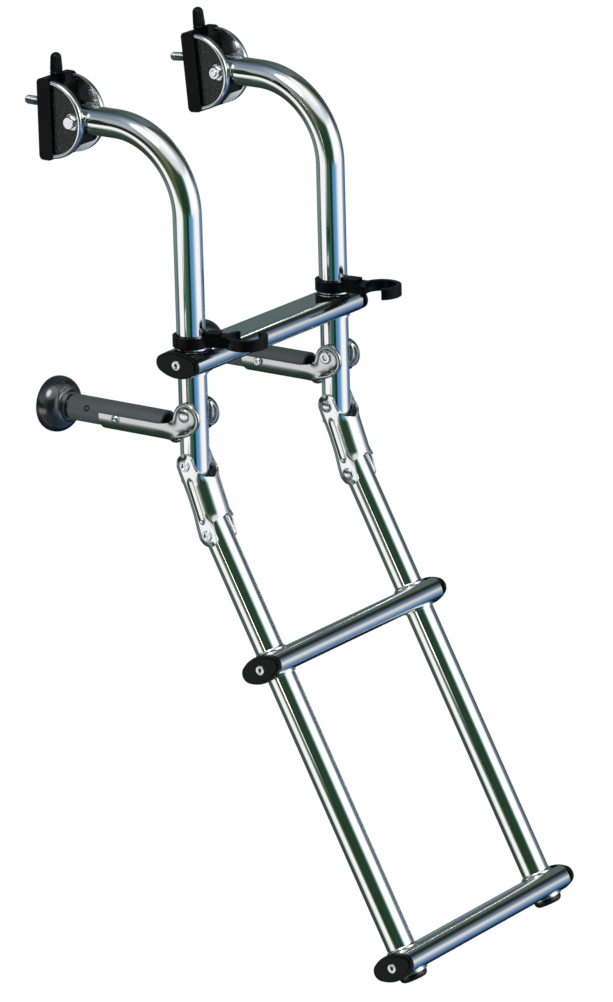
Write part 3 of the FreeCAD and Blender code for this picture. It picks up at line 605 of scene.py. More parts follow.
def step_seat(step, side, outward):
    """The frame where a stile's axis meets a step's middle, with Z along the stile."""
    centre = middle(f"{step}_step")
    centre.x = middle(f"{side}_lower_rivet").x
    return seat(centre, section_axis("upper" if step == "top" else "lower") * outward, ACROSS)


def add_weld(name, step, side, outward, leg):
    """A polished fillet from the stile's wall down to the step's crowned face."""
    half_thick, half_depth, steps = STEP_THICK / 2, STEP_DEPTH / 2, 8
    inner, outer = TUBE_OD / 2, TUBE_OD / 2 + leg

    def face_height(y):
        past = max(abs(y) - (half_depth - half_thick), 0.0)
        return math.sqrt(max(half_thick ** 2 - past ** 2, 0.0))

    def shape(radius, part, turn):
        low = face_height(outer * math.sin(turn))
        if radius < 1.0:
            return outer - leg * part, low - 1.0 + (half_thick - low) * part
        points = ((inner, half_thick + leg), (inner + leg * 0.16, half_thick + leg * 0.32), (outer, low))
        weights = ((1 - part) ** 2, 2 * part * (1 - part), part ** 2)
        return tuple(sum(weight * point[axis] for weight, point in zip(weights, points))
                     for axis in (0, 1))

    bm = bmesh.new()
    # rows of radius 1 are the fillet's face, from the wall to the step, and the last two its buried back
    rows = [(1.0, row / steps) for row in range(steps + 1)] + [(0.5, 0.0), (0.5, 1.0)]
    lathe(bm, rows, columns=96, shape=shape, looped=True)
    make_piece(name, bm, step_seat(step, side, outward), "stamped_steel", f"{step}_step", replaces=False)


class LADDER_OT_dress_caps(bpy.types.Operator):
    """Finish the step caps and the stile boots, and screw a socket head into each cap"""
    bl_idname = "ladder.dress_caps"
    bl_label = "Caps and Boots"

    def execute(self, context):
        radius = context.scene.ladder_hardware.cap_screw / MM
        head = rounded([(0.0, 0.0, 0), (radius, 0.0, 0), (radius, 1.1, 0.35), (radius * 0.80, 1.35, 0.3),
                        (radius * 0.40, 1.2, 0.15), (radius * 0.34, 0.3, 0), (0.0, 0.3, 0)])
        for side in SIDES:
            dress(f"{side}_foot_plug", "boot_nylon", context.scene.ladder_finish.edge_width)
        for step in STEPS:
            caps = f"{step}_step_caps"
            dress(caps, "cap_nylon", 1.1 * MM, 4)
            low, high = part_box(caps)
            for side, outward in SIDES.items():
                centre = middle(caps)
                centre.x = (low.x if outward < 0 else high.x) - outward * 0.6 * MM
                bm = bmesh.new()
                lathe(bm, head, columns=72, shape=socket(radius * 0.38))
                place = seat(centre, (outward, 0.0, 0.0), section_axis("lower"))
                make_piece(f"{step}_step_{side}_cap_screw", bm, place, "fastener_steel", caps,
                           replaces=False)
        return {"FINISHED"}


class LADDER_OT_dress_brackets(bpy.types.Operator):
    """Finish the nylon slabs and cores and the steel cheeks with their inlays"""
    bl_idname = "ladder.dress_brackets"
    bl_label = "Brackets"

    def execute(self, context):
        settings = context.scene.ladder_finish
        for side in SIDES:
            dress(f"{side}_bracket_base", "black_nylon", settings.edge_width)
            dress(f"{side}_bracket_core", "black_nylon", settings.edge_width)
            for cheek, outward in SIDES.items():
                add_cheek(side, cheek, outward)
                add_inlay(side, cheek, outward, context.scene.ladder_hardware.inlay_thick / MM)
        return {"FINISHED"}


def cheek_arc(half, reach):
    """Centre, radius and half angle of the arc that stands out by reach over the slab's face."""
    curve = (half ** 2 + reach ** 2) / 2 / reach
    spread = math.asin(half / curve)
    return -SLAB_THICK - reach + curve, curve, math.pi - spread if reach > curve else spread


def add_cheek(side, cheek, outward):
    """A half-round plate whose edge is rolled outward into a bead."""
    centre, curve, spread = cheek_arc(CHEEK_HALF, CHEEK_REACH)
    bead, columns = CHEEK_BEAD / 2, 72
    # (inset from the edge, rise over the inner face), from the plate over the bead to the inner corner
    section = [(CHEEK_BEAD + 1.2, CHEEK_SHEET), (CHEEK_BEAD + 0.5, CHEEK_SHEET + 0.12),
               (CHEEK_BEAD + 0.1, CHEEK_SHEET + 0.5)]
    section += arc(bead, CHEEK_RISE - bead, bead, bead, range(0, 181, 10))
    section += [(0.0, 0.5), (0.15, 0.15), (0.5, 0.0)]
    bm = bmesh.new()
    rows = []
    for inset, rise in section:
        reach = curve - inset
        bends = [spread * (2 * column / columns - 1) for column in range(columns + 1)]
        rows.append([bm.verts.new((rise, min(centre - reach * math.cos(bend), -SLAB_THICK),
                                   reach * math.sin(bend))) for bend in bends])
    rows.insert(0, [bm.verts.new((CHEEK_SHEET, -SLAB_THICK, 0.0))] * (columns + 1))
    rows.append([bm.verts.new((0.0, -SLAB_THICK, 0.0))] * (columns + 1))
    for row, after in zip(rows, rows[1:]):
        for column in range(columns):
            corners = (row[column], row[column + 1], after[column + 1], after[column])
            bm.faces.new(list(dict.fromkeys(corners)))
    for column in (0, columns):
        bm.faces.new([row[column] for row in rows])
    bmesh.ops.translate(bm, vec=(PLATE_IN, 0.0, 0.0), verts=bm.verts)
    bmesh.ops.scale(bm, vec=(outward, 1.0, 1.0), verts=bm.verts)
    make_piece(f"{side}_bracket_{cheek}_pressing", bm, bracket_seat(side), "stamped_steel",
               f"{side}_bracket_{cheek}_cheek")


def add_inlay(side, cheek, outward, thick):
    """A half-round nylon plate inside the cheek's rim, open round the bolt's washer."""
    inset, sunk = CHEEK_BEAD + 0.3, 0.2
    centre, curve, spread = cheek_arc(CHEEK_HALF - inset, CHEEK_REACH - inset)
    place = bracket_seat(side)
    bolt = place.inverted() @ middle(f"{side}_bracket_bolt") / MM
    bends = [spread * (1 - step / 24) for step in range(49)]
    outline = [(centre - sunk - curve * math.cos(bend), curve * math.sin(bend)) for bend in bends]
    well = arc(bolt.y, 0.0, BOLT_WELL, BOLT_WELL, [7.5 * step for step in range(48)])
    fills = tessellate_polygon([[Vector((*point, 0.0)) for point in loop] for loop in (outline, well)])
    plate = PLATE_IN + CHEEK_SHEET
    bm = bmesh.new()
    low, high = ([bm.verts.new((outward * rise, y, z)) for y, z in outline + well]
                 for rise in (plate, plate + thick))
    for fill in fills:
        for layer in (low, high):
            bm.faces.new([layer[corner] for corner in fill])
    for first, count in ((0, len(outline)), (len(outline), len(well))):
        for step in range(count):
            start, stop = first + step, first + (step + 1) % count
            bm.faces.new((low[start], low[stop], high[stop], high[start]))
    make_piece(f"{side}_bracket_{cheek}_inlay", bm, place, "inlay_nylon", f"{side}_bracket_base",
               replaces=False, crease=False)


class LADDER_OT_add_bracket_hardware(bpy.types.Operator):
    """Make the hexagon bolts, the threaded mounting studs and the fluted pull knobs"""
    bl_idname = "ladder.add_bracket_hardware"
    bl_label = "Bolts, Studs and Knobs"

    def execute(self, context):
        hardware = context.scene.ladder_hardware
        for side, outward in SIDES.items():
            add_bolt(side, outward, hardware)
            add_stud(side, hardware)
            add_knob(side, hardware)
        return {"FINISHED"}


def add_bolt(side, outward, hardware):
    """A hexagon bolt whose head is on the outer side and whose nut is between the stiles."""
    radius, flats = hardware.bolt_thread / MM, hardware.bolt_flats / MM
    thick, ring, wide = hardware.bolt_head / MM, hardware.washer_thick / MM, hardware.washer / MM
    plate, pitch, core = PLATE_IN + CHEEK_SHEET, 1.0, radius - 0.4
    bm = bmesh.new()
    for low in (plate, -plate - ring):
        washer(bm, wide, low, low + ring)
    hex_head(bm, flats, plate + ring, thick, 1)
    hex_head(bm, flats, -plate - ring, thick, -1)
    end, start = -plate - ring - thick - 1.6, -plate - ring - thick + 0.4
    rows = thread_rows(radius, pitch, end + 0.6, start)
    lathe(bm, [(0.0, end), (radius - 0.7, end)] + rows + [(core, start + 0.2), (core, plate), (0.0, plate)],
          shape=threaded(radius, radius - 0.6, pitch, end + 0.6, start))
    node = f"{side}_bracket_bolt"
    place = seat(middle(node), (outward, 0.0, 0.0), bracket_seat(side).to_3x3().col[2])
    make_piece(f"{side}_hex_bolt", bm, place, "fastener_steel", node)


def add_stud(side, hardware):
    """A stud with a rolled thread behind the slab and a necked shank inside it."""
    crest, pitch, slot = hardware.stud_thread / MM, 1.25, 2.6
    root, shank, neck = crest - 0.72, crest + 0.6, crest - 1.0
    start, stop = 1.2, STUD_REACH - 1.0
    place = bracket_seat(side)
    bm = bmesh.new()
    inside = [(0.0, -STUD_DEPTH), (shank, -STUD_DEPTH), (shank, -PIN_PLACE - slot),
              (neck, -PIN_PLACE - slot), (neck, -PIN_PLACE + slot), (shank, -PIN_PLACE + slot),
              (shank, 0.0), (neck, 0.0), (neck, 1.0)]
    lathe(bm, inside + thread_rows(crest, pitch, start, stop) + [(root - 0.2, STUD_REACH), (0.0, STUD_REACH)],
          shape=threaded(crest, root, pitch, start, stop))
    place = seat(place @ Vector((0.0, 0.0, STUD_RISE * MM)), place.to_3x3().col[1], ACROSS)
    make_piece(f"{side}_threaded_stud", bm, place, "threaded_steel", f"{side}_mount_stud")


def add_knob(side, hardware):
    """A pull knob with flutes round its grip and the steel release pin under it, both drawn in the knob's nylon
    finish.
    """
    place = bracket_seat(side)
    height, radius, depth, count = KNOB_HEIGHT, KNOB_RADIUS, hardware.flute_depth / MM, hardware.flute_count
    low, tip, cap = SLAB_HEIGHT / 2 + 0.3, KNOB_RADIUS - 0.7, 5.0

    def shape(reach, rise, turn):
        along = (rise - low) / height
        grip = min(max((along - 0.10) / 0.06, 0.0), 1.0) * min(max((0.90 - along) / 0.12, 0.0), 1.0)
        return reach - depth * grip * (0.5 + 0.5 * math.cos(count * turn)) ** 2, rise

    collar = rounded([(0.0, low, 0), (radius, low, 0.5), (radius, low + 1.6, 0.3),
                      (radius - 0.35, low + 2.4, 0.3), (radius - 0.1, low + 4.0, 0)])
    grip_rows = [(radius - 0.1 - 0.6 * part / 8, low + 4.0 + (height - 4.0 - cap) * part / 8)
                 for part in range(1, 9)]
    dome = arc(0.0, low + height - cap, tip, cap, range(10, 90, 10))
    bm = bmesh.new()
    lathe(bm, collar + grip_rows + dome + [(0.0, low + height)], columns=count * 8, shape=shape)
    pin_low, pin_top = STUD_RISE + 3.3, low + 0.2
    lathe(bm, [(0.0, pin_low), (2.1, pin_low), (2.5, pin_low + 0.5), (2.5, pin_top), (0.0, pin_top)])
    place = seat(place @ Vector((0.0, -PIN_PLACE * MM, 0.0)), place.to_3x3().col[2], ACROSS)
    make_piece(f"{side}_pull_knob", bm, place, "knob_nylon", f"{side}_release_pin")


class LADDER_OT_dress_hooks(bpy.types.Operator):
    """Round the moulded edges of the swivel hooks"""
    bl_idname = "ladder.dress_hooks"
    bl_label = "Hooks"

    def execute(self, context):
        for side in SIDES:
            dress(f"{side}_stile_hook", "black_nylon", 1.8 * MM, 4)
        return {"FINISHED"}


class LADDER_OT_dress_legs(bpy.types.Operator):
    """Make the standoff legs: stamped troughs, nylon tubes, rubber feet and their fasteners"""
    bl_idname = "ladder.dress_legs"
    bl_label = "Standoff Legs"

    def execute(self, context):
        for side, outward in SIDES.items():
            add_leg_channel(side)
            add_leg_tube(side)
            add_spare_hole(side, outward)
            add_foot(side)
            add_cross_fastener(side, "leg_bolt", "leg_pivot", outward, EAR_OUT, 3.0, head=6.0, thick=1.5)
            add_cross_fastener(side, "leg_screw", "leg_clamp", outward, TROUGH_OUT, 2.0, head=4.0, thick=2.6)
        return {"FINISHED"}


def ear_bead(depth):
    """Height of the ear's rolled edge over its plate, and the dish inside it, by distance from the edge."""
    crest, foot, low, high, bowl, bowl_fade = 2.0, 4.2, -0.4, 1.6, 0.7, 2.6
    if depth < crest:
        return low + (high - low) * math.sqrt(1 - (1 - depth / crest) ** 2)
    if depth < foot:
        part = (depth - crest) / (foot - crest)
        return bowl + (high - bowl) * math.cos(part * math.pi / 2)
    return bowl * math.exp((foot - depth) / bowl_fade)


def add_leg_channel(side):
    """A stamped trough, open on top, whose two sides end in dished round ears at the stile."""
    front_columns, back_columns, bottom_steps, curl = 36, 16, 18, 52.0
    flare_fade, neck_start, neck_run = 2.6, 12.0, 22.0
    # rows run from the top of the left ear down to the bottom of the trough, and up the other side
    heights = [EAR_RADIUS * math.cos(math.pi * row / 48) - EAR_LOW for row in range(49)]
    heights = [height for height in heights if height > -TROUGH_TOP + 0.3] + [-TROUGH_TOP]
    ear_rows = len(heights) - 1
    heights += [-TROUGH_TOP - (TROUGH_LOW - TROUGH_TOP) * part / 5 for part in range(1, 6)]
    stations = [(height, 0.0) for height in heights]
    stations += [(-TROUGH_LOW, 90.0 * part / bottom_steps) for part in range(1, bottom_steps + 1)]

    def ear_half(height):
        return math.sqrt(max(EAR_RADIUS ** 2 - (height + EAR_LOW) ** 2, 0.0))

    def ends(height, bend):
        """Where a row starts, and where its ear ends or its side meets the trough."""
        start = -EAR_FORWARD - ear_half(height)
        if bend:
            return start + (TROUGH_START - start) * smooth_step(bend / curl), TROUGH_SPLIT
        if height <= -TROUGH_TOP:
            return start, TROUGH_SPLIT
        flare = TROUGH_SPLIT + EAR_FORWARD - ear_half(-TROUGH_TOP)
        rise = math.exp((-TROUGH_TOP - height) / flare_fade)
        return start, -EAR_FORWARD + ear_half(height) + flare * rise

    def section(along, height, bend):
        """Point and outward direction of the left side's outer face, without its bead."""
        half = EAR_OUT + (TROUGH_OUT - EAR_OUT) * smooth_step((along - neck_start) / neck_run)
        turn = math.radians(bend)
        point = Vector((-half * math.cos(turn), along, height - TROUGH_OUT * math.sin(turn)))
        return point, Vector((-math.cos(turn), 0.0, -math.sin(turn)))

    edge = []
    for height, bend in stations:
        start, stop = ends(height, bend)
        edge.append(section(start, height, bend)[0])
        if height > -5.0:
            edge.append(section(stop, height, bend)[0])
    tree = nearest_to(edge)
    outer, inner = [], []
    for height, bend in stations:
        start, stop = ends(height, bend)
        spots = [start + (stop - start) * (1 - math.cos(math.pi * column / front_columns)) / 2
                 for column in range(front_columns + 1)]
        spots += [TROUGH_SPLIT + (TROUGH_END - TROUGH_SPLIT) * column / back_columns
                  for column in range(1, back_columns + 1)]
        outer.append([])
        inner.append([])
        for along in spots:
            point, out = section(along, height, bend)
            rise = ear_bead(tree.find(point)[2])
            outer[-1].append(point + out * rise)
            inner[-1].append(point + out * (max(rise, 0.0) - EAR_SHEET))
    for grid in (outer, inner):
        grid += [[MIRROR @ point for point in row] for row in reversed(grid[:-1])]
    last = len(outer) - 1

    def kept(row, column):
        return column < front_columns or ear_rows <= row < last - ear_rows

    bm = bmesh.new()
    sheet_shell(bm, outer, inner, kept)
    # the trough takes the darker copy of the steel, which is painted shade
    make_piece(f"{side}_leg_pressing", bm, Matrix.Translation(middle(f"{side}_leg_bolt")), "shaded_pressed_steel",
               f"{side}_leg_channel")


def leg_seat(side):
    """The frame of a leg's tube: its origin beside the ear's bolt, on the tube's axis, Z to the foot."""
    centre = middle(f"{side}_leg_bolt") + Vector((0.0, 0.0, -TROUGH_LOW)) * MM
    return seat(centre, (0.0, 1.0, 0.0), ACROSS)


def add_leg_tube(side):
    """A round nylon tube with eased ends."""
    bore, start, stop = LEG_TUBE - LEG_WALL, TUBE_START, FOOT_START
    bm = bmesh.new()
    lathe(bm, rounded([(bore, start + 2.0, 0), (bore, start, 0.4), (LEG_TUBE, start, 0.7),
                       (LEG_TUBE, stop, 0.3), (bore, stop, 0)]), columns=96, looped=True)
    make_piece(f"{side}_leg_barrel", bm, leg_seat(side), "leg_nylon", f"{side}_leg_tube")


def add_spare_hole(side, outward):
    """A black nylon cup set into the nylon tube where its spare screw hole is; its black is painted shade for the
    inside of the hole.
    """
    low, floor, rim, lift = LEG_TUBE - LEG_WALL, LEG_TUBE - 1.6, LEG_TUBE + 0.25, math.radians(22.0)
    bm = bmesh.new()
    lathe(bm, rounded([(0.0, low, 0), (2.6, low, 0), (2.6, rim, 0.2), (1.7, rim, 0.2), (1.5, floor, 0),
                       (0.0, floor, 0)]), columns=40)
    centre = leg_seat(side) @ Vector((0.0, 0.0, SPARE_HOLE * MM))
    # the cup's black nylon is painted shade for the hole's dark inside
    make_piece(f"{side}_leg_spare_hole", bm,
               seat(centre, (outward * math.cos(lift), 0.0, math.sin(lift))), "black_nylon",
               f"{side}_leg_tube", replaces=False)


def add_foot(side):
    """A mushroom foot of dark rubber: a groove at the tube's end, a dome and a rounded tread edge."""
    start, widest, tread = FOOT_START, FOOT_START + 18.2, FOOT_START + 26.0
    neck = rounded([(0.0, start - 10.0, 0), (8.4, start - 10.0, 0.3), (8.4, start, 0), (10.3, start, 0.2),
                    (10.0, start + 2.3, 0.3), (12.2, start + 2.5, 0.5), (13.6, start + 3.6, 0)])[:-1]
    dome = arc(12.6, widest, 11.9, 13.4, range(-82, 1, 5))
    lip = arc(20.4, widest, 4.1, 7.8, range(5, 91, 7))
    sole = [(18.0, tread), (17.4, tread - 0.8), (14.0, tread - 0.8), (13.4, tread), (0.0, tread)]
    bm = bmesh.new()
    lathe(bm, neck + dome + lip + sole, columns=96)
    make_piece(f"{side}_rubber_foot", bm, leg_seat(side), "foot_rubber", f"{side}_leg_foot")


def add_cross_fastener(side, part, name, outward, half, radius, head, thick):
    """A low button head on the outer side, and a ring nut with a dark bore on the inner side."""
    node, low = f"{side}_{part}", -half - thick
    bm = bmesh.new()
    button = arc(0.0, half, head, thick, range(0, 90, 10))
    lathe(bm, [(0.0, half - 0.3), (head, half - 0.3)] + button + [(0.0, half + thick)], columns=56)
    ring = [(0.0, -half, 0), (head, -half, 0), (head, low + 0.8, 0.6), (head * 0.78, low, 0.4),
            (head * 0.44, low, 0.3), (head * 0.38, low + 1.6, 0), (0.0, low + 1.6, 0)]
    lathe(bm, rounded(ring), columns=56)
    shank = radius - 0.3
    lathe(bm, [(0.0, low + 1.9), (shank, low + 1.9), (shank, half), (0.0, half)])
    make_piece(f"{side}_{name}_screw", bm, seat(middle(node), (outward, 0.0, 0.0), (0.0, 0.0, 1.0)),
               "fastener_steel", node)


class LADDER_OT_dress_links(bpy.types.Operator):
    """Make the stamped fold links and set their rivets"""
    bl_idname = "ladder.dress_links"
    bl_label = "Fold Links"

    def execute(self, context):
        outer, inner = link_surfaces()
        for side, outward in SIDES.items():
            bm = bmesh.new()
            sheet_shell(bm, outer, inner)
            upper, lower = middle(f"{side}_upper_rivet"), middle(f"{side}_lower_rivet")
            make_piece(f"{side}_link_pressing", bm, seat(upper, upper - lower, ACROSS), "stamped_steel",
                       f"{side}_fold_link")
            for end in ("upper", "lower"):
                add_rivet(side, end, outward)
        return {"FINISHED"}


def link_roll(depth):
    """How far the link's hull edge and its lobes are rolled in, by distance from the edge."""
    deepest, reach, round_off = 1.7, 5.6, 1.6
    return -deepest * max(1 - depth / reach, 0.0) ** round_off


def slot_press(across, up):
    """Depth of the long slot that is pressed into each face of the link."""
    centre, half_length, half_width, slope, deepest = 0.4, 16.6, 1.6, 1.9, 1.3
    past = math.hypot(across - centre, max(abs(up + LINK_PITCH / 2) - half_length, 0.0)) - half_width
    return -deepest * (1 - smooth_step(past / slope))


def between(place, points):
    """The value at a place along a chain of (place, value) points."""
    for (start, first), (stop, second) in zip(points, points[1:]):
        if place <= stop:
            return first + (second - first) * (place - start) / (stop - start)
    return points[-1][1]


def link_surfaces():
    """Outer and inner grids of the link: lobed sides round both rivets and a round web in front."""
    side_columns, front_columns, rows, brow, rolled = 40, 24, 92, 0.92, 0.6
    belly, belly_start, belly_run, waist, waist_run = 6.9, 7.0, 12.0, 1.7, 26.0

    def lobe(part):
        """Height of a lobe over its rivet."""
        y = LINK_LOBE * (1 - part) + LINK_BEND * part
        return math.sqrt(max(LINK_LOBE ** 2 - y ** 2, 0.0))

    # the sheet's upper and lower edges, as heights past a rivet, from the lobes round to the front
    upper = ((brow, lobe(brow)), (0.97, -4.0), (1.03, -7.0), (1.22, -9.2), (1.53, -13.0), (1.8, -15.4),
             (2.0, -16.2))
    lower = ((brow, lobe(brow)), (0.97, -5.0), (1.04, -8.5), (1.25, -10.4), (1.6, -12.2), (2.0, -13.7))

    def section(part, up):
        """Point and outward direction: part runs from the left edge, 1 is the bend and 2 the front."""
        run = min(-up, LINK_PITCH + up)
        bend_at = LINK_BEND + belly * smooth_step((run - belly_start) / belly_run)
        if part <= 1.0:
            y = (LINK_LOBE - waist * smooth_step(run / waist_run)) * (1 - part) + bend_at * part
            return Vector((-LINK_OUT, y, up)), Vector((-1.0, 0.0, 0.0))
        turn = math.pi / 2 * (part - 1.0)
        deep = LINK_FRONT + bend_at
        point = Vector((-LINK_OUT * math.cos(turn), bend_at - deep * math.sin(turn), up))
        return point, Vector((-math.cos(turn) / LINK_OUT, -math.sin(turn) / deep, 0.0)).normalized()

    def ends(part):
        """Heights of the upper and the lower edge."""
        if part <= brow:
            return lobe(part), -LINK_PITCH - lobe(part)
        return between(part, upper), -LINK_PITCH - between(part, lower)

    parts = [column / side_columns for column in range(side_columns + 1)]
    parts += [1.0 + column / front_columns for column in range(1, front_columns + 1)]
    edge = [section(0.0, -LINK_PITCH * row / rows)[0] for row in range(rows + 1)]
    edge += [section(part, end)[0] for part in parts if part <= rolled for end in ends(part)]
    tree = nearest_to(edge)
    outer, inner = [], []
    for row in range(rows + 1):
        along = (1 - math.cos(math.pi * row / rows)) / 2
        outer.append([])
        inner.append([])
        for part in parts:
            high, low = ends(part)
            up = high * (1 - along) + low * along
            point, out = section(part, up)
            rise = link_roll(tree.find(point)[2])
            if part <= 1.0:
                rise += slot_press(point.y, up)
            outer[-1].append(point + out * rise)
            inner[-1].append(point + out * (min(rise, 0.0) * 0.6 - LINK_SHEET))
    for grid in (outer, inner):
        for row in grid:
            row += [MIRROR @ point for point in reversed(row[:-1])]
    return outer, inner


def add_rivet(side, end, outward):
    """A rivet with a rolled ring on the outer side and a dome on the inner side."""
    node, half, head, thick = f"{side}_{end}_rivet", LINK_OUT, RIVET_HEAD, 2.2
    bore, rim, shank = head * 0.48, half + thick - 0.8, 4.0
    ring = rounded([(0.0, half + 0.3, 0), (bore * 0.34, half + 0.1, 0.3), (bore * 0.62, half - 1.1, 0.3),
                    (bore, half - 0.6, 0.3), (bore, rim, 0.3), (head * 0.80, rim, 0.5),
                    (head * 0.86, half, 0)])
    dome = arc(0.0, -half, head, -thick, range(0, 90, 10))
    bm = bmesh.new()
    lathe(bm, ring + [(shank, half), (shank, -half)] + dome + [(0.0, -half - thick)], columns=64)
    make_piece(f"{side}_{end}_link_rivet", bm, seat(middle(node), (outward, 0.0, 0.0)), "fastener_steel",
               node)


def camera_axes(settings):
    """Right, up and back of the camera, from its angles."""
    azimuth, elevation, roll = settings.azimuth, settings.elevation, settings.roll
    back = Vector((math.sin(azimuth) * math.cos(elevation),
                   -math.cos(azimuth) * math.cos(elevation), math.sin(elevation)))
    right = Vector((math.cos(azimuth), math.sin(azimuth), 0.0))
    up = back.cross(right)
    return (right * math.cos(roll) + up * math.sin(roll),
            up * math.cos(roll) - right * math.sin(roll), back)


# What the polished steel mirrors, from low to high: the heights (as the sine of the elevation) over
# which each belt takes over from the one below it, and its tones by degrees round from the camera.
# Each belt closes on its first tone.
WHITE = (1.0, 1.0, 1.0)
PALE_BLUE = (0.90, 0.96, 0.96)
SEA_GREEN = (0.10, 0.24, 0.22)
DEEP_GREEN = (0.012, 0.045, 0.018)
NIGHT_GREEN = (0.008, 0.015, 0.008)
NIGHT_BLUE = (0.004, 0.008, 0.02)
STUDIO_BANDS = (
    (-1.0, -1.0, (
        (-180.0, NIGHT_BLUE), (-165.0, (0.02, 0.035, 0.03)), (-116.0, (0.03, 0.055, 0.035)),
        (-89.0, (0.04, 0.07, 0.05)), (-79.0, (0.20, 0.25, 0.25)), (-68.0, (0.22, 0.28, 0.28)),
        (-50.0, (0.10, 0.13, 0.15)), (60.0, (0.05, 0.10, 0.18)), (116.0, (0.09, 0.20, 0.40)),
        (130.0, (0.03, 0.10, 0.20)), (145.0, NIGHT_BLUE))),
    (-0.55, -0.34, (
        (-180.0, (0.16, 0.21, 0.25)), (-150.0, (0.15, 0.21, 0.23)), (-108.0, (0.17, 0.25, 0.25)),
        (-101.0, (0.05, 0.09, 0.05)), (-94.0, (0.06, 0.10, 0.06)), (-90.0, WHITE), (-41.0, WHITE),
        (-34.0, (0.75, 0.48, 0.33)), (-28.0, (0.04, 0.12, 0.07)), (-8.0, (0.02, 0.12, 0.07)),
        (0.0, (0.008, 0.012, 0.02)), (9.0, (0.008, 0.02, 0.035)), (15.0, (0.08, 0.25, 0.42)),
        (40.0, (0.17, 0.36, 0.60)), (52.0, (0.62, 0.74, 0.88)), (64.0, WHITE), (92.0, (1.0, 0.96, 0.97)),
        (100.0, (0.85, 0.86, 0.86)), (105.0, (0.40, 0.44, 0.50)), (110.0, (0.20, 0.30, 0.48)),
        (122.0, (0.14, 0.27, 0.50)), (138.0, (0.05, 0.12, 0.22)))),
    (-0.22, -0.13, (
        (-180.0, (0.075, 0.095, 0.060)), (-125.0, (0.03, 0.05, 0.03)), (-90.0, NIGHT_GREEN),
        (-60.0, NIGHT_GREEN), (-53.0, (0.06, 0.09, 0.035)), (-44.0, (0.07, 0.10, 0.04)),
        (-36.0, (0.10, 0.13, 0.06)), (-25.0, DEEP_GREEN), (22.0, DEEP_GREEN), (31.0, SEA_GREEN),
        (39.0, PALE_BLUE), (45.0, WHITE), (99.0, WHITE), (105.0, (0.62, 0.65, 0.62)),
        (110.0, (0.34, 0.38, 0.42)), (122.0, (0.16, 0.24, 0.34)), (134.0, (0.05, 0.07, 0.05)),
        (150.0, (0.10, 0.13, 0.11)))),
    (0.10, 0.24, (
        (-180.0, (0.10, 0.14, 0.145)), (-125.0, (0.05, 0.08, 0.06)), (-98.0, (0.35, 0.40, 0.42)),
        (-62.0, (0.42, 0.46, 0.48)), (-40.0, (0.13, 0.16, 0.08)), (-30.0, (0.13, 0.16, 0.08)),
        (-20.0, (0.03, 0.06, 0.03)), (18.0, (0.012, 0.04, 0.018)), (31.0, SEA_GREEN),
        (39.0, PALE_BLUE), (45.0, WHITE), (98.0, WHITE), (103.0, (0.36, 0.42, 0.50)),
        (109.0, (0.12, 0.19, 0.30)), (120.0, (0.03, 0.045, 0.04)), (136.0, (0.05, 0.065, 0.04)))),
    (0.42, 0.58, (
        (-180.0, (0.06, 0.08, 0.06)), (-140.0, (0.03, 0.045, 0.03)), (-98.0, (0.20, 0.25, 0.32)),
        (-75.0, (0.24, 0.29, 0.38)), (-45.0, (0.52, 0.55, 0.56)), (-15.0, (0.72, 0.74, 0.74)),
        (10.0, (0.78, 0.80, 0.82)), (50.0, (0.78, 0.82, 0.86)), (92.0, (0.42, 0.47, 0.48)),
        (108.0, (0.12, 0.17, 0.22)), (117.0, (0.018, 0.025, 0.014)), (136.0, (0.018, 0.025, 0.014)),
        (146.0, (0.08, 0.11, 0.10)), (162.0, (0.10, 0.14, 0.14)))),
    (0.66, 0.80, (
        (-180.0, (0.10, 0.14, 0.15)), (-142.0, (0.04, 0.065, 0.05)), (-103.0, (0.12, 0.18, 0.24)),
        (-60.0, (0.42, 0.48, 0.53)), (-20.0, (0.90, 0.92, 0.94)), (20.0, WHITE), (58.0, WHITE),
        (80.0, (0.50, 0.54, 0.48)), (95.0, (0.22, 0.26, 0.20)), (120.0, (0.05, 0.06, 0.04)),
        (138.0, (0.05, 0.06, 0.04)), (150.0, (0.12, 0.16, 0.15)))),
)


def background(tree, tone, strength):
    return add_node(tree, "ShaderNodeBackground", {"Color": tone, "Strength": strength}).outputs[0]


def mix_shaders(tree, factor, first, second):
    return add_node(tree, "ShaderNodeMixShader", {0: factor, 1: first, 2: second}).outputs[0]


def studio_world(settings):
    """White for the camera, an even fill for light, and soft coloured bands for the steel to mirror."""
    world = bpy.data.worlds.new("studio")
    world.use_nodes = True
    tree = world.node_tree
    tree.nodes.clear()
    place = add_node(tree, "ShaderNodeTexCoord").outputs["Generated"]
    east, north = math.cos(settings.azimuth), math.sin(settings.azimuth)
    along, across = (add_node(tree, "ShaderNodeVectorMath", {0: place, 1: toward},
                              operation="DOT_PRODUCT").outputs["Value"]
                     for toward in ((north, -east, 0.0), (east, north, 0.0)))
    turn = math_node(tree, "ARCTAN2", across, along)
    around = math_node(tree, "ADD", math_node(tree, "DIVIDE", turn, 2 * math.pi), 0.5)
    height = add_node(tree, "ShaderNodeSeparateXYZ", {0: place}).outputs["Z"]
    shown = None
    for low, high, stops in STUDIO_BANDS:
        closed = (*stops, (180.0, stops[0][1]))
        belt = ramp_node(tree, around, [((bearing + 180.0) / 360.0, tone) for bearing, tone in closed])
        if shown is None:
            shown = belt
            continue
        part = add_node(tree, "ShaderNodeMapRange", {"Value": height, "From Min": low, "From Max": high},
                        interpolation_type="SMOOTHSTEP").outputs["Result"]
        shown = blend(tree, part, shown, belt)
    studio = background(tree, shown, settings.reflection)
    fill = background(tree, (*WHITE, 1.0), settings.fill)
    backdrop = background(tree, (*WHITE, 1.0), 1.0)
    rays = add_node(tree, "ShaderNodeLightPath")
    shine = mix_shaders(tree, rays.outputs["Is Glossy Ray"], fill, studio)
    seen = mix_shaders(tree, rays.outputs["Is Camera Ray"], shine, backdrop)
    add_node(tree, "ShaderNodeOutputWorld", {"Surface": seen})
    bpy.context.scene.world = world


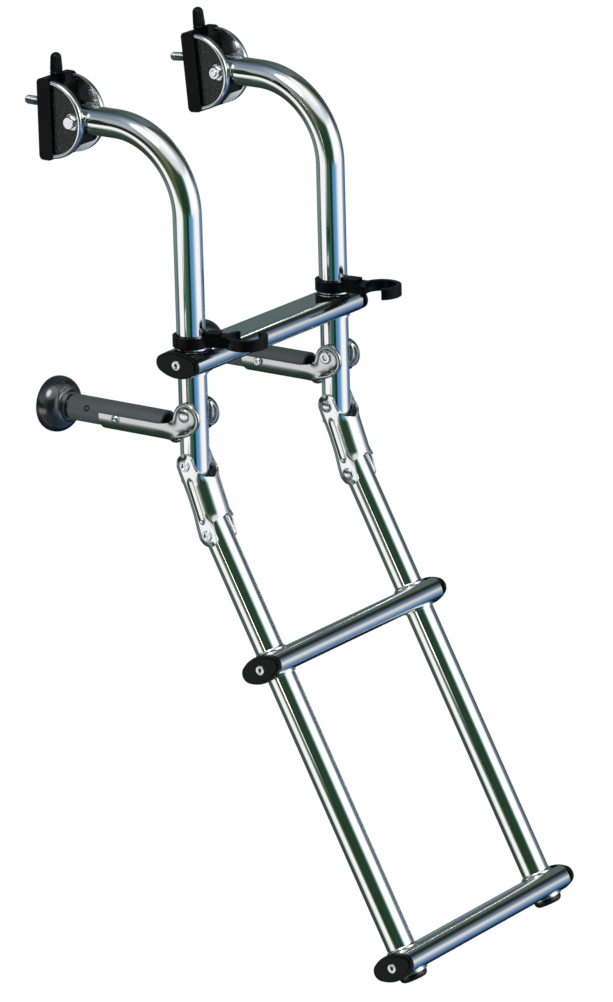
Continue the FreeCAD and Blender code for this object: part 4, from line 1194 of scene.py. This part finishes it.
def floor_material(settings):
    """A pale floor that the camera sees as white, apart from a soft shadow."""
    glow, shown_white = 1.09, 0.85
    made, tree, shader = new_material("floor")
    shader.inputs["Base Color"].default_value = (*settings.floor_colour, 1.0)
    shader.inputs["Roughness"].default_value = 0.9
    white = add_node(tree, "ShaderNodeEmission", {"Strength": glow}).outputs[0]
    rays = add_node(tree, "ShaderNodeLightPath")
    seen = math_node(tree, "MAXIMUM", rays.outputs["Is Camera Ray"], rays.outputs["Is Transmission Ray"])
    shown = mix_shaders(tree, math_node(tree, "MULTIPLY", seen, shown_white), shader.outputs[0], white)
    wire(tree, shown, tree.nodes["Material Output"].inputs["Surface"])
    return made


def place_object(name, data, place, turn):
    """Put a camera or a lamp in the scene."""
    made = bpy.data.objects.new(name, data)
    made.location = place
    made.rotation_mode = "QUATERNION"
    made.rotation_quaternion = turn
    bpy.context.scene.collection.objects.link(made)
    return made


def area_lamp(name, place, aim, size, power):
    lamp = bpy.data.lights.new(name, "AREA")
    lamp.shape = "DISK"
    lamp.size = size
    lamp.energy = power
    place_object(name, lamp, place, (aim - place).to_track_quat("-Z", "Y"))


class LADDER_OT_make_studio(bpy.types.Operator):
    """Set up the camera, the floor, the lamps and the world"""
    bl_idname = "ladder.make_studio"
    bl_label = "Studio"

    def execute(self, context):
        settings = context.scene.ladder_studio
        right, up, back = camera_axes(settings)
        target = Vector(settings.target)
        camera = bpy.data.cameras.new("camera")
        camera.lens = settings.lens
        camera.sensor_width = 36.0
        camera.sensor_fit = "AUTO"
        camera.clip_end = 100.0
        context.scene.camera = place_object("camera", camera, target + back * settings.distance,
                                            Matrix((right, up, back)).transposed().to_quaternion())

        bm = bmesh.new()
        bmesh.ops.create_circle(bm, cap_ends=True, segments=96, radius=40.0)
        mesh = bpy.data.meshes.new("floor")
        bm.to_mesh(mesh)
        bm.free()
        floor = bpy.data.objects.new("floor", mesh)
        floor.location = (0.0, 0.0, -settings.floor_depth)
        mesh.materials.append(floor_material(settings))
        floor.visible_glossy = False
        context.scene.collection.objects.link(floor)

        for name, toward, size, share_of in (
                ("key_lamp", back * 1.6 - right * 1.4 + Vector((0.0, 0.0, 2.2)), 1.6, 1.0),
                ("side_lamp", back * 1.0 + right * 2.4 + Vector((0.0, 0.0, 0.6)), 1.4, 0.4)):
            area_lamp(name, target + toward, target, size, settings.lamp_power * share_of)
        studio_world(settings)
        context.scene.view_settings.view_transform = "Standard"
        return {"FINISHED"}


class LADDER_PT_panel(bpy.types.Panel):
    """The steps that finish the ladder, in order"""
    bl_label = "Swim Ladder"
    bl_space_type = "VIEW_3D"
    bl_region_type = "UI"
    bl_category = "Swim Ladder"

    def draw(self, context):
        for operator in OPERATORS:
            self.layout.operator(operator.bl_idname)


OPERATORS = (
    LADDER_OT_make_finishes,
    LADDER_OT_dress_frame,
    LADDER_OT_dress_caps,
    LADDER_OT_dress_brackets,
    LADDER_OT_add_bracket_hardware,
    LADDER_OT_dress_hooks,
    LADDER_OT_dress_legs,
    LADDER_OT_dress_links,
    LADDER_OT_make_studio,
)
SETTINGS = {"ladder_finish": FinishSettings, "ladder_hardware": HardwareSettings,
            "ladder_studio": StudioSettings}


def register():
    for group in SETTINGS.values():
        bpy.utils.register_class(group)
    for name, group in SETTINGS.items():
        setattr(bpy.types.Scene, name, bpy.props.PointerProperty(type=group))
    for operator in (*OPERATORS, LADDER_PT_panel):
        bpy.utils.register_class(operator)


def unregister():
    for operator in (LADDER_PT_panel, *reversed(OPERATORS)):
        bpy.utils.unregister_class(operator)
    for name, group in SETTINGS.items():
        delattr(bpy.types.Scene, name)
        bpy.utils.unregister_class(group)


def main():
    register()
    bpy.ops.ladder.make_finishes()
    bpy.ops.ladder.dress_frame()
    bpy.ops.ladder.dress_caps()
    bpy.ops.ladder.dress_brackets()
    bpy.ops.ladder.add_bracket_hardware()
    bpy.ops.ladder.dress_hooks()
    bpy.ops.ladder.dress_legs()
    bpy.ops.ladder.dress_links()
    bpy.ops.ladder.make_studio()


if __name__ == "__main__":
    main()
